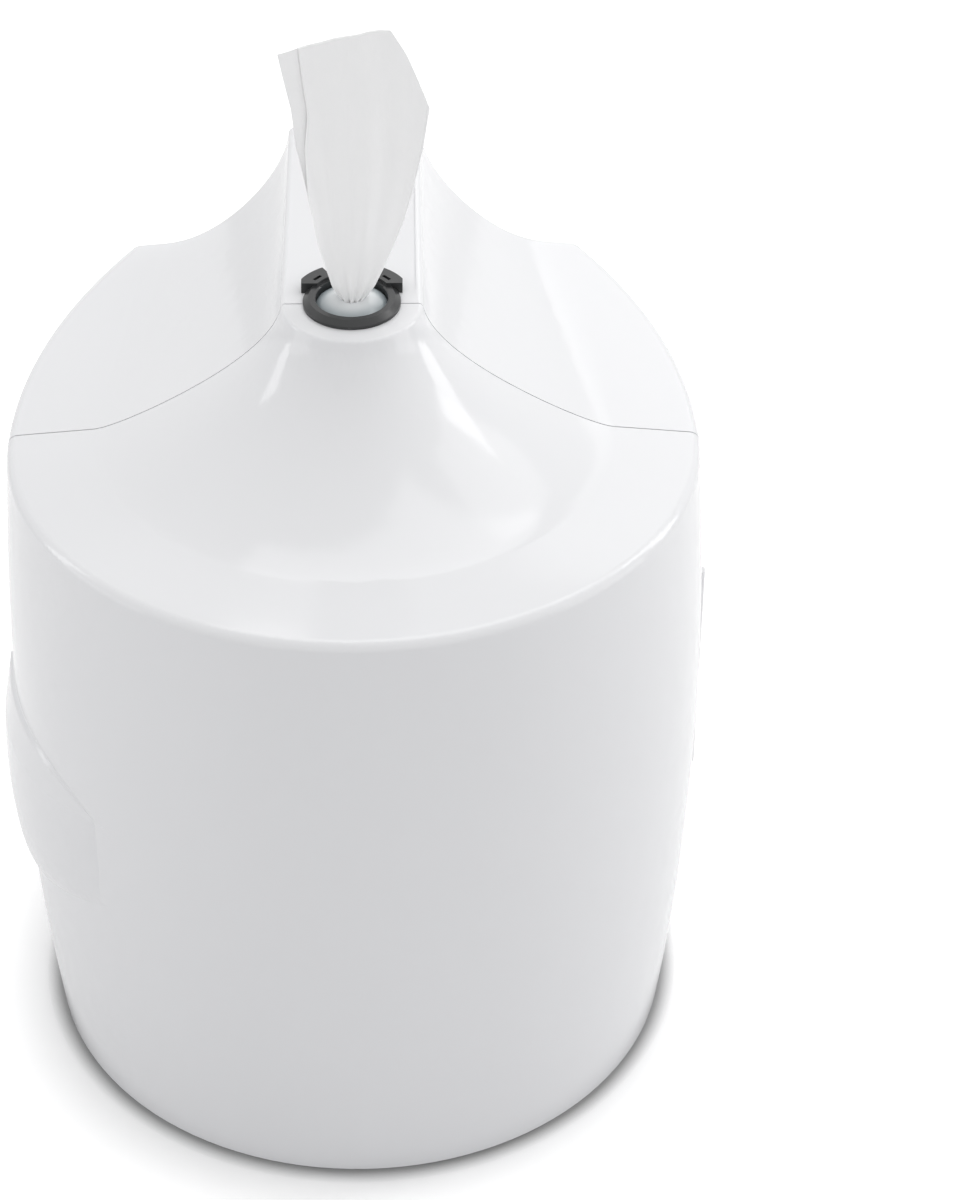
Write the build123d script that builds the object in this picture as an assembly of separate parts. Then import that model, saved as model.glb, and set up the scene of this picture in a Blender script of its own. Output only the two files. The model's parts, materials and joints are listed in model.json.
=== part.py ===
"""Wall-mounted dispenser for a centre-pull roll of wipes, in millimetres.

The body is a white moulded barrel, flat at the wall and round at the front. It parts on the
plane y = 0, which runs through the nozzle on top: the rear housing carries the roll, the nozzle
and the lock, and the front cover swings to the right on a pin hidden in the wall of the barrel.

Frame: +X to the viewer's right, -Y towards the viewer, +Z up. The origin is the middle of the
flat underside, below the nozzle. The wall that the dispenser hangs on is the plane y = BODY_BACK.
"""
from build123d import *
import os
from math import acos, atan2, cos, degrees, pi, radians, sin, sqrt

# Refill: a coreless roll in its film bag, fed from the middle
ROLL_R = 102.0
ROLL_H = 196.0
ROLL_EYE_R = 17.0
ROLL_EDGE = 6.0
BAG_T = 0.8
BAG_GAP = 2.4
BAG_SHOULDER = 10.0
BAG_MOUTH_R = 46.0
BAG_MOUTH_RISE = 12.0
SEAT_GAP = 0.3

# Overall shape of the two shells, built round the refill
BASE_R = ROLL_R + 28.8          # radius of the round front at its foot
BELLY_R = BASE_R + 9.7          # largest radius of the barrel
BELLY_Z = 160.0                 # height of the largest radius
RIM_R = BELLY_R - 4.7           # radius where the barrel meets the top
RIM_Z = ROLL_H + 80.8           # height of that corner
TOP_Z = RIM_Z + 60.6            # height of the nozzle platform and of the ridge behind it
NECK_R = 27.0                   # radius of the nozzle platform and half the width of the ridge
BODY_BACK = ROLL_R + 35.4       # distance of the wall from the nozzle axis
FLANK_SHIFT = 114.2             # how much larger the plan radius of the rear flanks is
WALL = 3.0                      # moulded wall of both shells
BACK_WALL = 4.0                 # wall that the bolts pass through
RIM_FILLET = 4.5
RIDGE_FILLET = 2.2
PLATFORM_FILLET = 1.8
BACK_FILLET = 2.0
PART_GAP = 0.6                  # visible line between housing and cover
RIDGE_LINE = (24.4, 0.5, 0.35)  # moulding line on the ridge: place in x, width and depth
RIDGE_LINE_START = 10.4

# Top: a nearly flat ring, then a flare that sweeps up to the nozzle platform
RING_SLOPE = 0.0925     # rise of the ring per millimetre inwards
TOP_MARGIN = 20.0       # how far the section of the top is drawn past the belly
FLARE_FOOT_FRONT = RIM_R - 33.3
RING_BACK = 7.457       # width of the ring at the wall, from the rim to the flare's foot
FLARE_FOOT_BACK = sqrt((RIM_R + FLANK_SHIFT) ** 2 - BODY_BACK ** 2) - FLANK_SHIFT - RING_BACK
FLARE_FRONT = [(0.883, 0.065), (0.604, 0.258), (0.042, 0.611)]   # handles: share of run and of rise
FLARE_BACK = [(0.747, 0.062), (0.556, 0.075), (0.004, 0.612)]

# Finger grip on the left edge of the cover. Its ribs are sections through the axis, at angles from
# the -X axis, and their height dies away towards the crease at GRIP_REACH.
GRIP_START = -6.0
GRIP_REACH = 43.3
GRIP_PAST = 2.2         # how far the ribs run on past the crease, inside the barrel
GRIP_RIB_COUNT = 22
GRIP_POWER = 5          # how suddenly the pad drops at the crease
GRIP_TOP_Z = 171.5      # upper edge of the shelf at the parting line
GRIP_TOP_FALL = 11.5    # how much lower that edge ends at the crease
GRIP_SHOULDER_Z = 149.0
GRIP_SHOULDER_RISE = 0.27   # rise of the shoulder and of the foot, per degree
GRIP_FOOT_Z = 67.0
GRIP_FOOT_RISE = 1.12
GRIP_STEP = 1.8         # height of the small step where the shelf begins
GRIP_SHOULDER = 5.1     # how far the shoulder stands proud of the barrel
GRIP_PAD = [(6.0, 0.34), (5.2, 0.62), (3.0, 0.87)]  # height of the pad at shares of the way down
GRIP_ROOT = 7.0         # how deep the ribs reach into the barrel
GRIP_DIP = 3.2          # how far the surfaces run on inside the barrel

# Nozzle on top
COLLAR_R = 18.8
COLLAR_TOP_R = 16.6     # outer edge of the flat band on top, where the outer wall begins to slope
COLLAR_SIDE_H = 1.3
COLLAR_BORE_R = 13.9
COLLAR_H = 3.1
COLLAR_EDGE = 0.5
EAR_R = 22.3            # the two ears behind stand further out
EAR_SIDE_X = 19.5       # flat outer side of an ear
EAR_FOOT_Y = 7.5
EAR_TO = 59.0           # angle where the opening between the ears begins, from the X axis
EAR_BORE_R = 15.2
EAR_RISE = 1.3
EAR_SLOT = (4.0, 1.3, 1.2)
EAR_SLOT_R = 17.6
EAR_SLOT_ANGLE = 41.0
NECK_TUBE_R = 16.4
NECK_TUBE_DEPTH = 9.0
NECK_TUBE_BORE_R = 14.6
NOZZLE_CLEAR = 0.3
DOME_T = 1.2
DOME_R = 14.3
DOME_HOLE_R = 5.7
DOME_RISE = 3.0
DOME_DROP = 0.9         # how far the foot of the dome lies below the platform
LEDGE_R = 12.6
LEDGE_T = 1.6
COLLAR_LIFT = 0.1
RETAINER_R = 21.0
RETAINER_T = 2.4
RETAINER_CLEAR = 0.15

# Hinge pin inside the right-hand wall, at the height where the barrel is widest
HINGE_X = BELLY_R - 1.6
KNUCKLE_COUNT = 5
KNUCKLE_PITCH = 20.0
HINGE_LOW_Z = BELLY_Z - KNUCKLE_COUNT * KNUCKLE_PITCH / 2
KNUCKLE_R = 2.6
KNUCKLE_END_CLEAR = 0.3
KNUCKLE_SIDE_CLEAR = 0.35
PIN_R = 1.1
PIN_CLEAR = 0.05
PIN_END = 0.5
HINGE_WEB = 6.0
RELIEF_DEPTH = 3.2      # room behind the edge of the cover as it turns

# Cam lock in the left flank of the housing
LOCK_Y = 28.0
LOCK_Z = 108.0
LOCK_SEAT_DEPTH = 2.7   # how deep the flat seat lies in the flank
LOCK_FACE_R = 11.3
LOCK_FACE_T = 1.8
LOCK_BODY_R = 9.2
LOCK_BODY_L = 15.5
LOCK_BOSS_R = 13.0
LOCK_BOSS_T = 5.0
LOCK_CLEAR = 0.25
CORE_R = 6.0
CORE_CLEAR = 0.06
KEY_SLOT = (1.4, 7.0, 2.5)
NUT_ACROSS = 23.0
NUT_T = 4.0
WASHER_R = 12.6
WASHER_T = 0.8
CAM_T = 2.4
CAM_W = 11.0
CAM_REACH = 26.0
CAM_STUD = 5.0
CAM_SCREW_HEAD_R = 4.2
CAM_SCREW_HEAD_T = 2.6
CAM_SCREW_R = 2.0

# Keeper on the cover that the cam locks behind
KEEPER_T = 2.4
KEEPER_W = 13.0
KEEPER_SET_OUT = 5.75   # how far the arm's outer face lies outside the cam
KEEPER_FRONT_Y = -34.0
KEEPER_LIP = 12.0
KEEPER_GAP = 0.8
KEEPER_NUT_CLEAR = 2.6
KEEPER_SCREW_Y = (-12.0, -27.0)
KEEPER_BOSS_R = 4.2
SCREW_R = 1.5
SCREW_HEAD_R = 2.9
SCREW_HEAD_T = 1.8
SCREW_L = 7.0

# Tray that closes the foot and carries the roll
TRAY_T = 4.0
TRAY_CLEAR = 0.5
TRAY_FRONT_CLEAR = 1.2
TRAY_RIM_R = ROLL_R + BAG_GAP + BAG_T + 7.8
TRAY_RIM_T = 2.4
TRAY_RIM_H = 14.0
TRAY_RIBS = 8
TRAY_RIB_T = 2.0
TRAY_RIB_H = 5.0
TRAY_SCREW_X = 62.0
TRAY_SCREW_Y = BODY_BACK - 11.4
TRAY_SIDE_X = BASE_R - 11.3
TRAY_SIDE_Y = 26.0
POST_R = 5.0
POST_H = 22.0
POST_TIE = 6.0          # width of the web that ties a post to the wall
POST_HOLE_R = 1.7
TRAY_SCREW_L = 16.0
COUNTERSINK_R = 3.7
HEAD_CLEAR = 0.2
HEAD_SUNK = 0.3
TRAY_SCREW_R = 1.6
TRAY_HOLE_R = 1.9

# Bolt holes in the back wall
BOLT_DX = 110.0
BOLT_DZ = 150.0
BOLT_MID_Z = 140.0
BOLT_HOLE_R = 3.2
BOLT_PAD_R = 9.0
BOLT_PAD_T = 2.0

# The wipe in the nozzle and the strand that feeds it
STRAND_FOOT_Z = 150.0
STRAND_FOOT_R = 12.5
STRAND_R = 5.2
TAIL_START_Z = TOP_Z - DOME_DROP + DOME_RISE + 0.2
TAIL_SECTIONS = [
    # height above the nozzle, half width, half depth, shift in x, shift in y
    (0.0, 5.0, 4.4, 0.3, 0.0),
    (8.0, 7.2, 5.6, 1.3, 0.6),
    (20.0, 12.4, 6.4, 1.8, 1.2),
    (37.0, 17.0, 6.6, 3.5, 1.5),
    (52.0, 20.4, 6.2, 4.2, 1.5),
    (80.0, 25.4, 5.0, 4.4, 1.2),
    (109.4, 20.8, 3.2, -5.2, 0.0),
]
TAIL_TOP_SLANT = 12.2   # slant of the cut end of the wipe, in degrees
TAIL_FOLDS = 4
TAIL_FOLD_DEPTH = 0.55


def barrel_radius(z):
    """Radius of the front barrel at height z: one arc below the belly and one above it."""
    far_z, far_r = (0.0, BASE_R) if z < BELLY_Z else (RIM_Z, RIM_R)
    rise, fall = far_z - BELLY_Z, BELLY_R - far_r
    arc = (rise * rise + fall * fall) / (2 * fall)
    return BELLY_R - (arc - sqrt(arc * arc - (z - BELLY_Z) ** 2))


def flank_x(y, z):
    """Half width of the rear housing at depth y and height z."""
    return sqrt((barrel_radius(z) + FLANK_SHIFT) ** 2 - y * y) - FLANK_SHIFT


LOCK_SEAT_X = LOCK_SEAT_DEPTH - flank_x(LOCK_Y, LOCK_Z)
CAM_X = LOCK_SEAT_X + LOCK_BODY_L + LOCK_CLEAR
KEEPER_ARM_X = CAM_X - KEEPER_SET_OUT


def top_outline(foot, handles, inset):
    """Corner and handle points of the top, from the rim to the middle, moved inwards by inset."""
    def ring(x):
        return RIM_Z + (RIM_R - x) * RING_SLOPE

    run, rise = foot - NECK_R, TOP_Z - RIM_Z
    first = foot - (1 - handles[0][0]) * run
    far = BELLY_R + TOP_MARGIN
    points = [(far, ring(far)), (foot, ring(foot)), (first, ring(first))]
    points += [(NECK_R + a * run, RIM_Z + b * rise) for a, b in handles[1:]]
    points += [(NECK_R, TOP_Z), (0.0, TOP_Z)]
    vectors = [Vector(x, z) for x, z in points]
    normals = []
    for a, b in zip(vectors, vectors[1:]):
        leg = (b - a).normalized()
        normals.append(Vector(-leg.Y, leg.X))
    moved = []
    for index, point in enumerate(vectors):
        before = normals[max(index - 1, 0)]
        after = normals[min(index, len(normals) - 1)]
        both = (before + after).normalized()
        moved.append(point + both * (inset / both.dot(before)))
    moved[-1] = Vector(0.0, moved[-2].Y)
    return moved


def top_edges(foot, handles, inset):
    """Edges of the top in the XZ plane: ring, flare and platform."""
    points = [Vector(p.X, 0, p.Y) for p in top_outline(foot, handles, inset)]
    return points[0], [
        Line(points[0], points[1]),
        Bezier(*points[1:6]),
        Line(points[5], points[6]),
    ]


def barrel_face(extra, inset, top):
    """Half section of the barrel, widened by extra, from the foot up to the height top."""
    def point(z):
        return (barrel_radius(z) - inset + extra, 0, z)

    low, middle, high = 0.0, BELLY_Z, top
    arc_low = ThreePointArc(point(low), point((low + middle) / 2), point(middle))
    arc_high = ThreePointArc(point(middle), point((middle + high) / 2), point(high))
    edges = [Line((0, 0, low), point(low)), arc_low, arc_high,
             Line(point(high), (0, 0, high)), Line((0, 0, high), (0, 0, low))]
    return make_face(Wire(edges))


def top_section(foot, handles, inset, y):
    """Whole section across the body at depth y, down to the foot, wider than the barrel."""
    corner, edges = top_edges(foot, handles, inset)
    half = Wire(edges)
    other = half.mirror(Plane.YZ)
    wide = corner.X
    frame = Wire([Line((-wide, 0, corner.Z), (-wide, 0, 0)), Line((-wide, 0, 0), (wide, 0, 0)),
                  Line((wide, 0, 0), (wide, 0, corner.Z))])
    loop = Wire(list(half.edges()) + list(other.edges()) + list(frame.edges()))
    return make_face(loop).moved(Location((0, y, 0)))


def housing_volume(inset):
    """Solid inside the rear housing's surface, moved in by inset, between the planes of y."""
    front = top_section(FLARE_FOOT_FRONT, FLARE_FRONT, inset, 0)
    back = top_section(FLARE_FOOT_BACK, FLARE_BACK, inset, BODY_BACK)
    volume = loft([front, back], ruled=True)
    for side in (1, -1):
        flank = revolve(barrel_face(FLANK_SHIFT, inset, TOP_Z + 1), Axis.Z, 360)
        volume = volume & flank.moved(Location((-side * FLANK_SHIFT, 0, 0)))
    return volume


def cover_volume(inset):
    """Solid inside the cover's surface, moved in by inset: a half turn of the section."""
    corner, edges = top_edges(FLARE_FOOT_FRONT, FLARE_FRONT, inset)
    wide = corner.X
    side = [Line((0, 0, TOP_Z - inset), (0, 0, 0)), Line((0, 0, 0), (wide, 0, 0)),
            Line((wide, 0, 0), corner)]
    top = revolve(make_face(Wire(edges + side)), Axis.Z, 360)
    barrel = revolve(barrel_face(0, inset, TOP_Z + 1), Axis.Z, 360)
    return half_space(top & barrel, front=True)


def half_space(shape, front, gap=0.0):
    """Part of a shape in front of the parting plane, or behind it."""
    size = 2 * TOP_Z
    y = -size / 2 - gap if front else size / 2 + gap
    return shape & Box(size, size, 2 * size).moved(Location((0, y, TOP_Z / 2)))


def grip_rib(angle, inset):
    """Section of the finger grip in the plane through the axis at an angle from -X."""
    turn = radians(angle)
    reach = max(angle, 0.0) / GRIP_REACH
    share = 1 - reach ** GRIP_POWER
    top = GRIP_TOP_Z - GRIP_TOP_FALL * reach ** GRIP_POWER
    shoulder = min(GRIP_SHOULDER_Z + GRIP_SHOULDER_RISE * angle, top - GRIP_STEP)
    foot = GRIP_FOOT_Z + GRIP_FOOT_RISE * angle

    def point(proud, z):
        r = barrel_radius(z) + proud - inset
        return (-r * cos(turn), -r * sin(turn), z)

    edge = point(GRIP_STEP * share, top - GRIP_STEP * abs(share))
    corner = point(GRIP_SHOULDER * share, shoulder - (1 - share) * 0.5)
    pad = [point(proud * share, shoulder - down * (shoulder - foot)) for proud, down in GRIP_PAD]
    start, end = point(-GRIP_STEP, top + GRIP_STEP), point(-GRIP_DIP / 2, foot - GRIP_DIP)
    low, high = point(-GRIP_ROOT, foot - GRIP_DIP), point(-GRIP_ROOT, top + GRIP_STEP)
    edges = [Line(start, edge), Line(edge, corner), Spline(corner, *pad, point(0, foot), end),
             Line(end, low), Line(low, high), Line(high, start)]
    return make_face(Wire(edges))


def grip_volume(inset):
    """The finger grip: ribs joined round the left side of the barrel."""
    pitch = (GRIP_REACH + GRIP_PAST - GRIP_START) / (GRIP_RIB_COUNT - 1)
    ribs = [grip_rib(GRIP_START + index * pitch, inset) for index in range(GRIP_RIB_COUNT)]
    return half_space(loft(ribs), front=True)


def rod(radius, length, at, direction):
    """Cylinder that starts at a point and runs along a direction."""
    plane = Plane(origin=at, z_dir=direction)
    return extrude(plane * Circle(radius), length)


def upright_cone(low_radius, high_radius, height, at):
    """Cone frustum that stands on a point."""
    cone = Cone(low_radius, high_radius, height, align=(Align.CENTER, Align.CENTER, Align.MIN))
    return cone.moved(Location(at))


def block(x0, x1, y0, y1, z0, z1):
    """Box between two values on each axis."""
    size = (x1 - x0, y1 - y0, z1 - z0)
    middle = ((x0 + x1) / 2, (y0 + y1) / 2, (z0 + z1) / 2)
    return Box(*size).moved(Location(middle))


def knuckle(index):
    """One knuckle of the hinge, without its hole."""
    z = HINGE_LOW_Z + index * KNUCKLE_PITCH + KNUCKLE_END_CLEAR / 2
    return rod(KNUCKLE_R, KNUCKLE_PITCH - KNUCKLE_END_CLEAR, (HINGE_X, 0, z), (0, 0, 1))


def knuckle_room(index):
    """Room that the other shell leaves for one knuckle."""
    z = HINGE_LOW_Z + index * KNUCKLE_PITCH - KNUCKLE_END_CLEAR / 2
    length = KNUCKLE_PITCH + KNUCKLE_END_CLEAR
    return rod(KNUCKLE_R + KNUCKLE_SIDE_CLEAR, length, (HINGE_X, 0, z), (0, 0, 1))


def pin_hole():
    """Hole for the hinge pin, right through the stack of knuckles."""
    length = KNUCKLE_COUNT * KNUCKLE_PITCH + 4
    return rod(PIN_R + PIN_CLEAR, length, (HINGE_X, 0, HINGE_LOW_Z - 2), (0, 0, 1))


def nozzle_hole():
    """Hole through the platform of both shells for the neck of the collar."""
    depth = WALL + 5
    return rod(NECK_TUBE_R + NOZZLE_CLEAR, depth + 4, (0, 0, TOP_Z - depth), (0, 0, 1))


def tray_posts():
    """Places of the four posts that the tray is screwed to."""
    return [(TRAY_SCREW_X, TRAY_SCREW_Y), (-TRAY_SCREW_X, TRAY_SCREW_Y),
            (TRAY_SIDE_X, TRAY_SIDE_Y), (-TRAY_SIDE_X, TRAY_SIDE_Y)]


def make_rear_housing():
    outer = housing_volume(0)
    outer = fillet([e for e in outer.edges() if is_rim_edge(e)], RIM_FILLET)
    outer = fillet([e for e in outer.edges() if is_ridge_edge(e)], RIDGE_FILLET)
    outer = fillet([e for e in outer.edges() if is_back_edge(e)], BACK_FILLET)
    inner = housing_volume(WALL)
    inner = inner & block(-TOP_Z, TOP_Z, -1, BODY_BACK - BACK_WALL, -1, TOP_Z)
    shell = outer - inner

    # Posts for the tray screws, tied to the wall beside them
    for x, y in tray_posts():
        post = rod(POST_R, POST_H, (x, y, TRAY_T), (0, 0, 1))
        half = POST_TIE / 2
        if y == TRAY_SCREW_Y:
            tie = block(x - half, x + half, y, BODY_BACK - BACK_WALL / 2, TRAY_T, TRAY_T + POST_H)
        else:
            edge = flank_x(y, 0) - WALL / 2
            low, high = sorted((x, edge if x > 0 else -edge))
            tie = block(low, high, y - half, y + half, TRAY_T, TRAY_T + POST_H)
        shell = shell + post + tie
        shell = shell - rod(POST_HOLE_R, TRAY_SCREW_L, (x, y, 0), (0, 0, 1))

    # Pads and holes for the bolts to the wall
    for x in (-BOLT_DX / 2, BOLT_DX / 2):
        for z in (BOLT_MID_Z - BOLT_DZ / 2, BOLT_MID_Z + BOLT_DZ / 2):
            start = BODY_BACK - BACK_WALL - BOLT_PAD_T
            shell = shell + rod(BOLT_PAD_R, BOLT_PAD_T + 0.5, (x, start, z), (0, 1, 0))
            shell = shell - rod(BOLT_HOLE_R, BACK_WALL + BOLT_PAD_T + 2, (x, start - 1, z), (0, 1, 0))

    # Seat of the lock: a flat pocket outside, a boss inside, and the hole through both
    shell = shell + rod(LOCK_BOSS_R, LOCK_BOSS_T, (LOCK_SEAT_X, LOCK_Y, LOCK_Z), (1, 0, 0))
    pocket = rod(LOCK_FACE_R + LOCK_CLEAR, 30, (LOCK_SEAT_X, LOCK_Y, LOCK_Z), (-1, 0, 0))
    shell = shell - pocket
    shell = shell - rod(LOCK_BODY_R + LOCK_CLEAR, 30, (LOCK_SEAT_X - 10, LOCK_Y, LOCK_Z), (1, 0, 0))

    # Nozzle hole in the platform, and the moulding line on the ridge behind it
    shell = shell - nozzle_hole()
    line_x, line_w, line_depth = RIDGE_LINE
    line = block(line_x - line_w / 2, line_x + line_w / 2, RIDGE_LINE_START, BODY_BACK + 1,
                 TOP_Z - line_depth, TOP_Z + 1)
    shell = half_space(shell - line, front=False, gap=PART_GAP / 2)

    # Room for the edge of the cover, then the housing's own knuckles
    hinge_top = HINGE_LOW_Z + KNUCKLE_COUNT * KNUCKLE_PITCH
    reach = sqrt(2 * (BELLY_R - HINGE_X) * ((RIM_Z - BELLY_Z) ** 2) / (2 * (BELLY_R - RIM_R))) + 6
    turn_r = BELLY_R - HINGE_X + KNUCKLE_SIDE_CLEAR
    shell = shell - rod(turn_r, 2 * reach, (HINGE_X, 0, BELLY_Z - reach), (0, 0, 1))
    shell = shell - block(HINGE_X, BELLY_R + 5, -1, RELIEF_DEPTH, BELLY_Z - reach, BELLY_Z + reach)
    for index in range(KNUCKLE_COUNT):
        if index % 2:
            shell = shell - knuckle_room(index)
        else:
            z0 = HINGE_LOW_Z + index * KNUCKLE_PITCH + KNUCKLE_END_CLEAR / 2
            z1 = z0 + KNUCKLE_PITCH - KNUCKLE_END_CLEAR
            web = block(HINGE_X - KNUCKLE_R, HINGE_X - 0.4, PART_GAP / 2, HINGE_WEB, z0, z1)
            shell = shell + knuckle(index) + web
    shell = shell - pin_hole()
    return shell


def is_rim_edge(edge):
    """True for the long edges where the top ring meets the flank."""
    middle = edge @ 0.5
    if abs(middle.Z - RIM_Z) > 8 or edge.length < 60:
        return False
    return middle.Y > 1 and middle.Y < BODY_BACK - 1 and abs(middle.X) > RIM_R * 0.6


def is_ridge_edge(edge):
    """True for the two long edges of the ridge behind the nozzle."""
    middle = edge @ 0.5
    return abs(middle.Z - TOP_Z) < 0.1 and abs(abs(middle.X) - NECK_R) < 0.1 and edge.length > BODY_BACK / 2


def is_back_edge(edge):
    """True for the two upright corners at the wall."""
    middle = edge @ 0.5
    return abs(middle.Y - BODY_BACK) < 0.1 and abs(middle.X) > FLARE_FOOT_BACK and edge.length > RIM_Z / 4


def make_front_cover():
    outer = cover_volume(0)
    rim = [e for e in outer.edges() if abs((e @ 0.5).Z - RIM_Z) < 3 and (e @ 0.5).Y < -RIM_R * 0.9]
    outer = fillet(rim, RIM_FILLET)
    lip = [e for e in outer.edges() if abs((e @ 0.5).Z - TOP_Z) < 0.1 and (e @ 0.5).Y < -NECK_R * 0.9]
    outer = fillet(lip, PLATFORM_FILLET)
    outer = outer + grip_volume(0)
    inner = cover_volume(WALL) + (grip_volume(WALL) & block(-TOP_Z, 0, -TOP_Z, -WALL, 0, TOP_Z))
    shell = outer - inner - nozzle_hole()

    # Bosses for the keeper's screws
    for y in KEEPER_SCREW_Y:
        boss = rod(KEEPER_BOSS_R, 30, (KEEPER_ARM_X, y, keeper_z()), (-1, 0, 0)) & outer
        shell = shell + boss
    shell = half_space(shell, front=True, gap=PART_GAP / 2)

    # Room for the housing's knuckles, then the cover's own
    for index in range(KNUCKLE_COUNT):
        if index % 2:
            shell = shell + knuckle(index)
        else:
            shell = shell - knuckle_room(index)
    shell = shell - pin_hole()
    for y in KEEPER_SCREW_Y:
        shell = shell - rod(SCREW_R, SCREW_L, (KEEPER_ARM_X + 1, y, keeper_z()), (-1, 0, 0))
    return shell


def keeper_z():
    """Height of the keeper's middle, above the lock and its nut."""
    return LOCK_Z + NUT_ACROSS / 2 + KEEPER_NUT_CLEAR + KEEPER_W / 2


def ring(outer, inner, z0, z1):
    """Flat ring about the nozzle axis."""
    return rod(outer, z1 - z0, (0, 0, z0), (0, 0, 1)) - rod(inner, z1 - z0 + 2, (0, 0, z0 - 1), (0, 0, 1))


def on_circle(radius, degrees):
    """Point of the plan at a radius and an angle from the X axis."""
    return (radius * cos(radians(degrees)), radius * sin(radians(degrees)))


def sector(radius, start, stop, z0, z1):
    """Slice of a disc between two angles from the X axis, in degrees."""
    first, last = on_circle(radius, start), on_circle(radius, stop)
    arc = ThreePointArc(first, on_circle(radius, (start + stop) / 2), last)
    face = make_face(Wire([Line((0, 0), first), arc, Line(last, (0, 0))]))
    return extrude(face, z1 - z0).moved(Location((0, 0, z0)))


def turned(points):
    """Solid of revolution about Z from a closed outline of (radius, height) points."""
    corners = [(r, 0, z) for r, z in points]
    lines = [Line(a, b) for a, b in zip(corners, corners[1:] + corners[:1])]
    return revolve(make_face(Wire(lines)), Axis.Z, 360)


def ear_outline():
    """Plan of the right-hand ear: flat side, round outer edge, opening and bore."""
    low = degrees(atan2(EAR_FOOT_Y, sqrt(COLLAR_BORE_R ** 2 - EAR_FOOT_Y ** 2)))
    side = degrees(acos(EAR_SIDE_X / EAR_R))
    foot, inner = on_circle(COLLAR_BORE_R, low), on_circle(COLLAR_BORE_R, EAR_TO)
    heel = (EAR_SIDE_X, EAR_FOOT_Y)
    corner, tip = on_circle(EAR_R, side), on_circle(EAR_R, EAR_TO)
    outside = ThreePointArc(corner, on_circle(EAR_R, (side + EAR_TO) / 2), tip)
    inside = ThreePointArc(inner, on_circle(COLLAR_BORE_R, (low + EAR_TO) / 2), foot)
    return make_face(Wire([Line(foot, heel), Line(heel, corner), outside, Line(tip, inner), inside]))


def make_ear(base, top):
    """Right-hand ear: lower tier flush with the bore, upper tier set back, and one slot."""
    high = top + EAR_RISE
    ear = extrude(ear_outline(), high - base).moved(Location((0, 0, base)))
    ear = ear - rod(EAR_BORE_R, 2 * EAR_RISE, (0, 0, top), (0, 0, 1))
    length, width, depth = EAR_SLOT
    place = Rotation(0, 0, EAR_SLOT_ANGLE) * Location((EAR_SLOT_R, 0, high))
    return ear - place * Box(width, length, 2 * depth)


def make_nozzle_collar():
    base = TOP_Z + COLLAR_LIFT
    top = base + COLLAR_H
    outer_side = [(COLLAR_BORE_R, base), (COLLAR_R, base), (COLLAR_R, base + COLLAR_SIDE_H)]
    top_band = [(COLLAR_TOP_R, top), (COLLAR_BORE_R + COLLAR_EDGE, top), (COLLAR_BORE_R, top - COLLAR_EDGE)]
    flange = turned(outer_side + top_band)
    ear = make_ear(base, top)
    flange = flange + ear + ear.mirror(Plane.YZ)
    flange = flange - sector(2 * EAR_R, EAR_TO, 180 - EAR_TO, base, top + 2 * EAR_RISE)
    tube = ring(NECK_TUBE_R, NECK_TUBE_BORE_R, TOP_Z - NECK_TUBE_DEPTH, base)
    lip = ring(NECK_TUBE_R, COLLAR_BORE_R, TOP_Z - COLLAR_LIFT, base)
    ledge = ring(NECK_TUBE_R, LEDGE_R, TOP_Z - NECK_TUBE_DEPTH, TOP_Z - NECK_TUBE_DEPTH + LEDGE_T)
    return flange + tube + lip + ledge


def make_nozzle_dome():
    foot = TOP_Z - DOME_DROP
    apex = foot + DOME_RISE
    middle_r = (DOME_R + DOME_HOLE_R) / 2
    middle_z = foot + DOME_RISE * 0.68
    upper = ThreePointArc((DOME_R, 0, foot), (middle_r, 0, middle_z), (DOME_HOLE_R, 0, apex))
    low_r = DOME_R - DOME_T
    lower = ThreePointArc((DOME_HOLE_R, 0, apex - DOME_T), (middle_r - DOME_T * 0.3, 0, middle_z - DOME_T),
                          (low_r, 0, foot - DOME_T))
    hem = TOP_Z - NECK_TUBE_DEPTH + LEDGE_T
    edges = [upper, Line((DOME_HOLE_R, 0, apex), (DOME_HOLE_R, 0, apex - DOME_T)), lower,
             Line((low_r, 0, foot - DOME_T), (low_r, 0, hem)), Line((low_r, 0, hem), (DOME_R, 0, hem)),
             Line((DOME_R, 0, hem), (DOME_R, 0, foot))]
    return revolve(make_face(Wire(edges)), Axis.Z, 360)


def make_nozzle_retainer():
    top = TOP_Z - WALL - SEAT_GAP / 2
    return ring(RETAINER_R, NECK_TUBE_R + RETAINER_CLEAR, top - RETAINER_T, top)


def make_hinge_pin():
    length = KNUCKLE_COUNT * KNUCKLE_PITCH - 2 * PIN_END
    return rod(PIN_R, length, (HINGE_X, 0, HINGE_LOW_Z + PIN_END), (0, 0, 1))


def lock_rod(radius, x0, x1):
    """Cylinder on the lock's axis between two values of x."""
    return rod(radius, x1 - x0, (x0, LOCK_Y, LOCK_Z), (1, 0, 0))


def make_lock_barrel():
    face = lock_rod(LOCK_FACE_R, LOCK_SEAT_X - LOCK_FACE_T, LOCK_SEAT_X)
    body = lock_rod(LOCK_BODY_R, LOCK_SEAT_X, LOCK_SEAT_X + LOCK_BODY_L)
    bore = lock_rod(CORE_R + CORE_CLEAR, LOCK_SEAT_X - 10, LOCK_SEAT_X + LOCK_BODY_L + 1)
    return face + body - bore


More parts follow.
